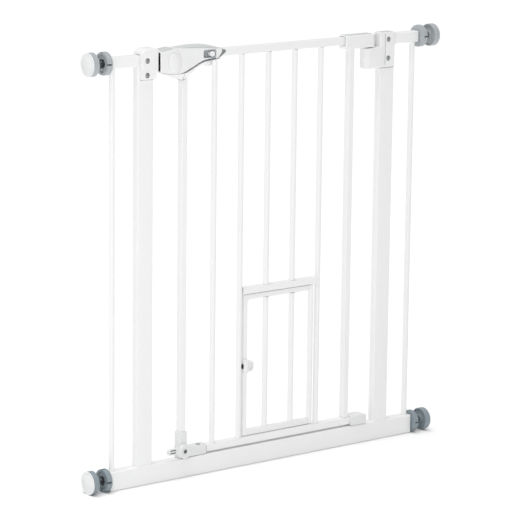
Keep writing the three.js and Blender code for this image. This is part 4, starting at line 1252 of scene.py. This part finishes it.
def release_slide():
    """The ribbed grip on top of the handle, which narrows to its ends, and its neck."""
    s = box_of("release_slide")
    floor = flowing([(x, z + 0.15) for x, z in reversed(CROWN[3:])], 4)
    crest = flowing(GRIP_CREST, 4)
    bm = bmesh.new()
    rings = []
    count = GRIP_RINGS
    left, right = GRIP_CREST[0][0], GRIP_CREST[-1][0]
    for i in range(count + 1):
        x = left + (right - left) * i / count
        end = min(1.0, 0.8 + 0.03 * i, 0.6 + 0.028 * (count - i))
        rib = GRIP_RIB * (i % 2)
        ring = arched_ring(x, s.y1 * end - rib, height_at(floor, x) - 0.5, height_at(crest, x) - rib)
        rings.append([bm.verts.new(v) for v in ring])
    skin(bm, rings)
    bm.faces.new(rings[0])
    bm.faces.new(rings[-1])
    pad = to_object("release_slide_pad", bm)
    soften(pad, 0.35, 2, 50)
    fuse(pad, block("neck", -205.5, -202.5, -3, 3, s.z0, CROWN[-1][1] + 0.3))
    dress(pad, "latch", GRIP, "grip_plastic", "release_slide")


def latch_bolt():
    b = box_of("latch_bolt")
    nose = 2.2
    plan = fillet([(b.x0, b.y0, nose), (b.x1, b.y0, 0.6), (b.x1, b.y1, 0.6), (b.x0, b.y1, nose)])
    bolt = prism("latch_bolt_bar", plan, "Z", b.z0, b.z1)
    soften(bolt, 0.45, 2)
    carve(bolt, block("pocket", -206.1, -201.9, -3.6, 3.6, b.z1 - 5, b.z1 + 5))
    dress(bolt, "latch", DARK_STEEL, "dark_steel", "latch_bolt")


def lock_button():
    k = box_of("lock_button")
    radius = LOCK["radius"]
    front = k.y0
    profile = [
        (0, k.y1), (radius, k.y1), (radius, front + 1.3), (radius - 0.4, front + 0.5),
        (radius - 1.2, front + 0.1), (radius - 1.9, front + 0.2), (radius - 2.5, front + 0.7),
        (0, front + 0.9),
    ]
    knob = turned("lock_button_knob", profile, "Y", (LOCK["x"], LOCK["z"]))
    dress(knob, "lock", WHITE, "white_plastic", "lock_button")


# ---------------------------------------------------------------- cat door


def cat_door():
    """The cat door's frame with its bush, its two bars and its hinge bar."""
    b = box_of("cat_door_frame")
    c = CAT_FRAME
    inner_left, inner_low, inner_top = b.x0 + c["stile"], b.z0 + c["bottom_rail"], b.z1 - c["top_rail"]
    outline = fillet(
        [
            (b.x0, b.z0, 1.0), (b.x1, b.z0, 0.4), (b.x1, inner_low, 0.4), (inner_left, inner_low, 2.0),
            (inner_left, inner_top, c["corner"]), (b.x1, inner_top, 0.4),
            (b.x1, b.z1, 0.4), (b.x0, b.z1, 1.0),
        ]
    )
    obj = prism("cat_door_frame_steel", outline, "Y", b.y0, b.y1)
    soften(obj, 0.9, 3)
    bolt = box_of("cat_latch_bolt")
    z = (bolt.z0 + bolt.z1) / 2
    carve(obj, rod("bolt_hole", "X", (0, z), b.x0 - BEYOND, inner_left + BEYOND, 3.1, 28))
    dress(obj, "cat_door", PAINT, "painted_steel", "cat_door_frame")
    ring = [(3.05, b.x0 - 0.5), (4.8, b.x0 - 0.5), (4.8, b.x0 + 0.4), (3.05, b.x0 + 0.4)]
    bush = turned("cat_latch_bush", ring, "X", (0, z), closed=True)
    dress(bush, "cat_door", DARK_STEEL, "dark_steel")
    for index in (1, 2):
        round_bar(f"cat_door_bar_{index}", "cat_door")

    h = box_of("cat_door_hinge_bar")
    x = (h.x0 + h.x1) / 2
    radius, pin, reach = 4.9, 2.5, 4.5
    low, high = h.z0 + reach, h.z1 - reach
    profile = [
        (0, h.z0), (pin - 0.4, h.z0), (pin, h.z0 + 0.4), (pin, low), (radius - 0.6, low),
        (radius, low + 0.6), (radius, high - 0.6), (radius - 0.6, high), (pin, high),
        (pin, h.z1 - 0.4), (pin - 0.4, h.z1), (0, h.z1),
    ]
    bar = turned("cat_door_hinge_rod", profile, "Z", (x, 0))
    dress(bar, "cat_door", PAINT, "painted_steel", "cat_door_hinge_bar")


def cat_latch():
    p = box_of("cat_latch_plate")
    plate = prism("cat_latch_escutcheon", round_rect(p.x0, p.x1, p.z0, p.z1, 2.4), "Y", p.y0, p.y1)
    soften(plate, 1.0, 3)
    dress(plate, "cat_door", WHITE, "white_plastic", "cat_latch_plate")

    b = box_of("cat_latch_bolt")
    left = CAT_KNOB_LEFT
    z = (b.z0 + b.z1) / 2
    half = (b.z1 - b.z0) / 2
    outline = [(left, z - half, 0.5), (b.x1, z - half, 6.5), (b.x1, z + half, 6.5), (left, z + half, 0.5)]
    knob = prism("cat_latch_knob", fillet(outline), "Y", b.y0, b.y1)
    soften(knob, 1.0, 3, 50)
    dish = [(left + 1.6, z - half + 3, 1), (b.x1 - 2.6, z - half + 3, 4.5)]
    dish += [(b.x1 - 2.6, z + half - 3, 4.5), (left + 1.6, z + half - 3, 1)]
    carve(knob, prism("dish", fillet(dish), "Y", b.y0 - 3, b.y0 + 3.2))
    dress(knob, "cat_latch", WHITE, "white_plastic", "cat_latch_bolt")
    pin = rod("cat_latch_pin", "X", (0, z), b.x0, left + 2, 2.6, 28)
    dress(pin, "cat_latch", DARK_STEEL, "dark_steel")


# ---------------------------------------------------------------- studio


def shining(name, kind, energy, towards):
    """A light that shines along a direction."""
    data = bpy.data.lights.new(name, kind)
    data.energy = energy
    obj = link(name, data)
    obj.rotation_euler = towards.to_track_quat("-Z", "Y").to_euler()
    return obj


def studio():
    """A white world, a white floor, a soft sun and a small key light."""
    world = bpy.data.worlds.new("studio")
    bpy.context.scene.world = world
    world.use_nodes = True
    background = world.node_tree.nodes["Background"]
    background.inputs["Color"].default_value = (1.0, 1.0, 1.0, 1.0)
    background.inputs["Strength"].default_value = WORLD_STRENGTH

    bm = bmesh.new()
    half = FLOOR_SIZE / 2 / MM
    corners = ((-half, -half), (half, -half), (half, half), (-half, half))
    bm.faces.new([bm.verts.new((x, y, FLOOR_HEIGHT)) for x, y in corners])
    floor = to_object("studio_floor", bm)
    floor.data.materials.append(studio_floor())

    sun = shining("sun", "SUN", SUN["strength"], Vector(SUN["towards"]))
    sun.data.angle = SUN["spread"]
    place = Vector(KEY["place"])
    key = shining("key", "AREA", KEY["energy"], Vector(KEY["aim"]) - place)
    key.data.shape = "SQUARE"
    key.data.size = KEY["size"]
    key.location = place


def camera():
    data = bpy.data.cameras.new("camera")
    data.lens = LENS
    data.sensor_width = SENSOR
    data.clip_end = 100.0
    forward = Vector(
        (math.sin(AZIMUTH) * math.cos(PITCH), math.cos(AZIMUTH) * math.cos(PITCH), -math.sin(PITCH))
    )
    level = Vector((math.cos(AZIMUTH), -math.sin(AZIMUTH), 0.0))
    upright = level.cross(forward)
    right = level * math.cos(ROLL) + upright * math.sin(ROLL)
    up = upright * math.cos(ROLL) - level * math.sin(ROLL)
    rotation = Matrix((right, up, -forward)).transposed().to_4x4()
    obj = link("camera", data)
    obj.matrix_world = Matrix.Translation(TARGET - forward * DISTANCE) @ rotation
    bpy.context.scene.camera = obj


camera()
studio()
bpy.context.scene.view_settings.view_transform = "Standard"

fixed_tubes()
latch_strike()
hinge_housing()
hinge_inner_parts()
for level in ("upper", "lower"):
    for side in ("left", "right"):
        clamp(level, side)
door_tubes()
hinge_cap()
hinge_shoe()
corner_foot()
foot_lever()
handle_body()
handle_cover()
handle_grey_and_shade_pieces()
latch_bolt()
release_slide()
lock_button()
cat_door()
cat_latch()
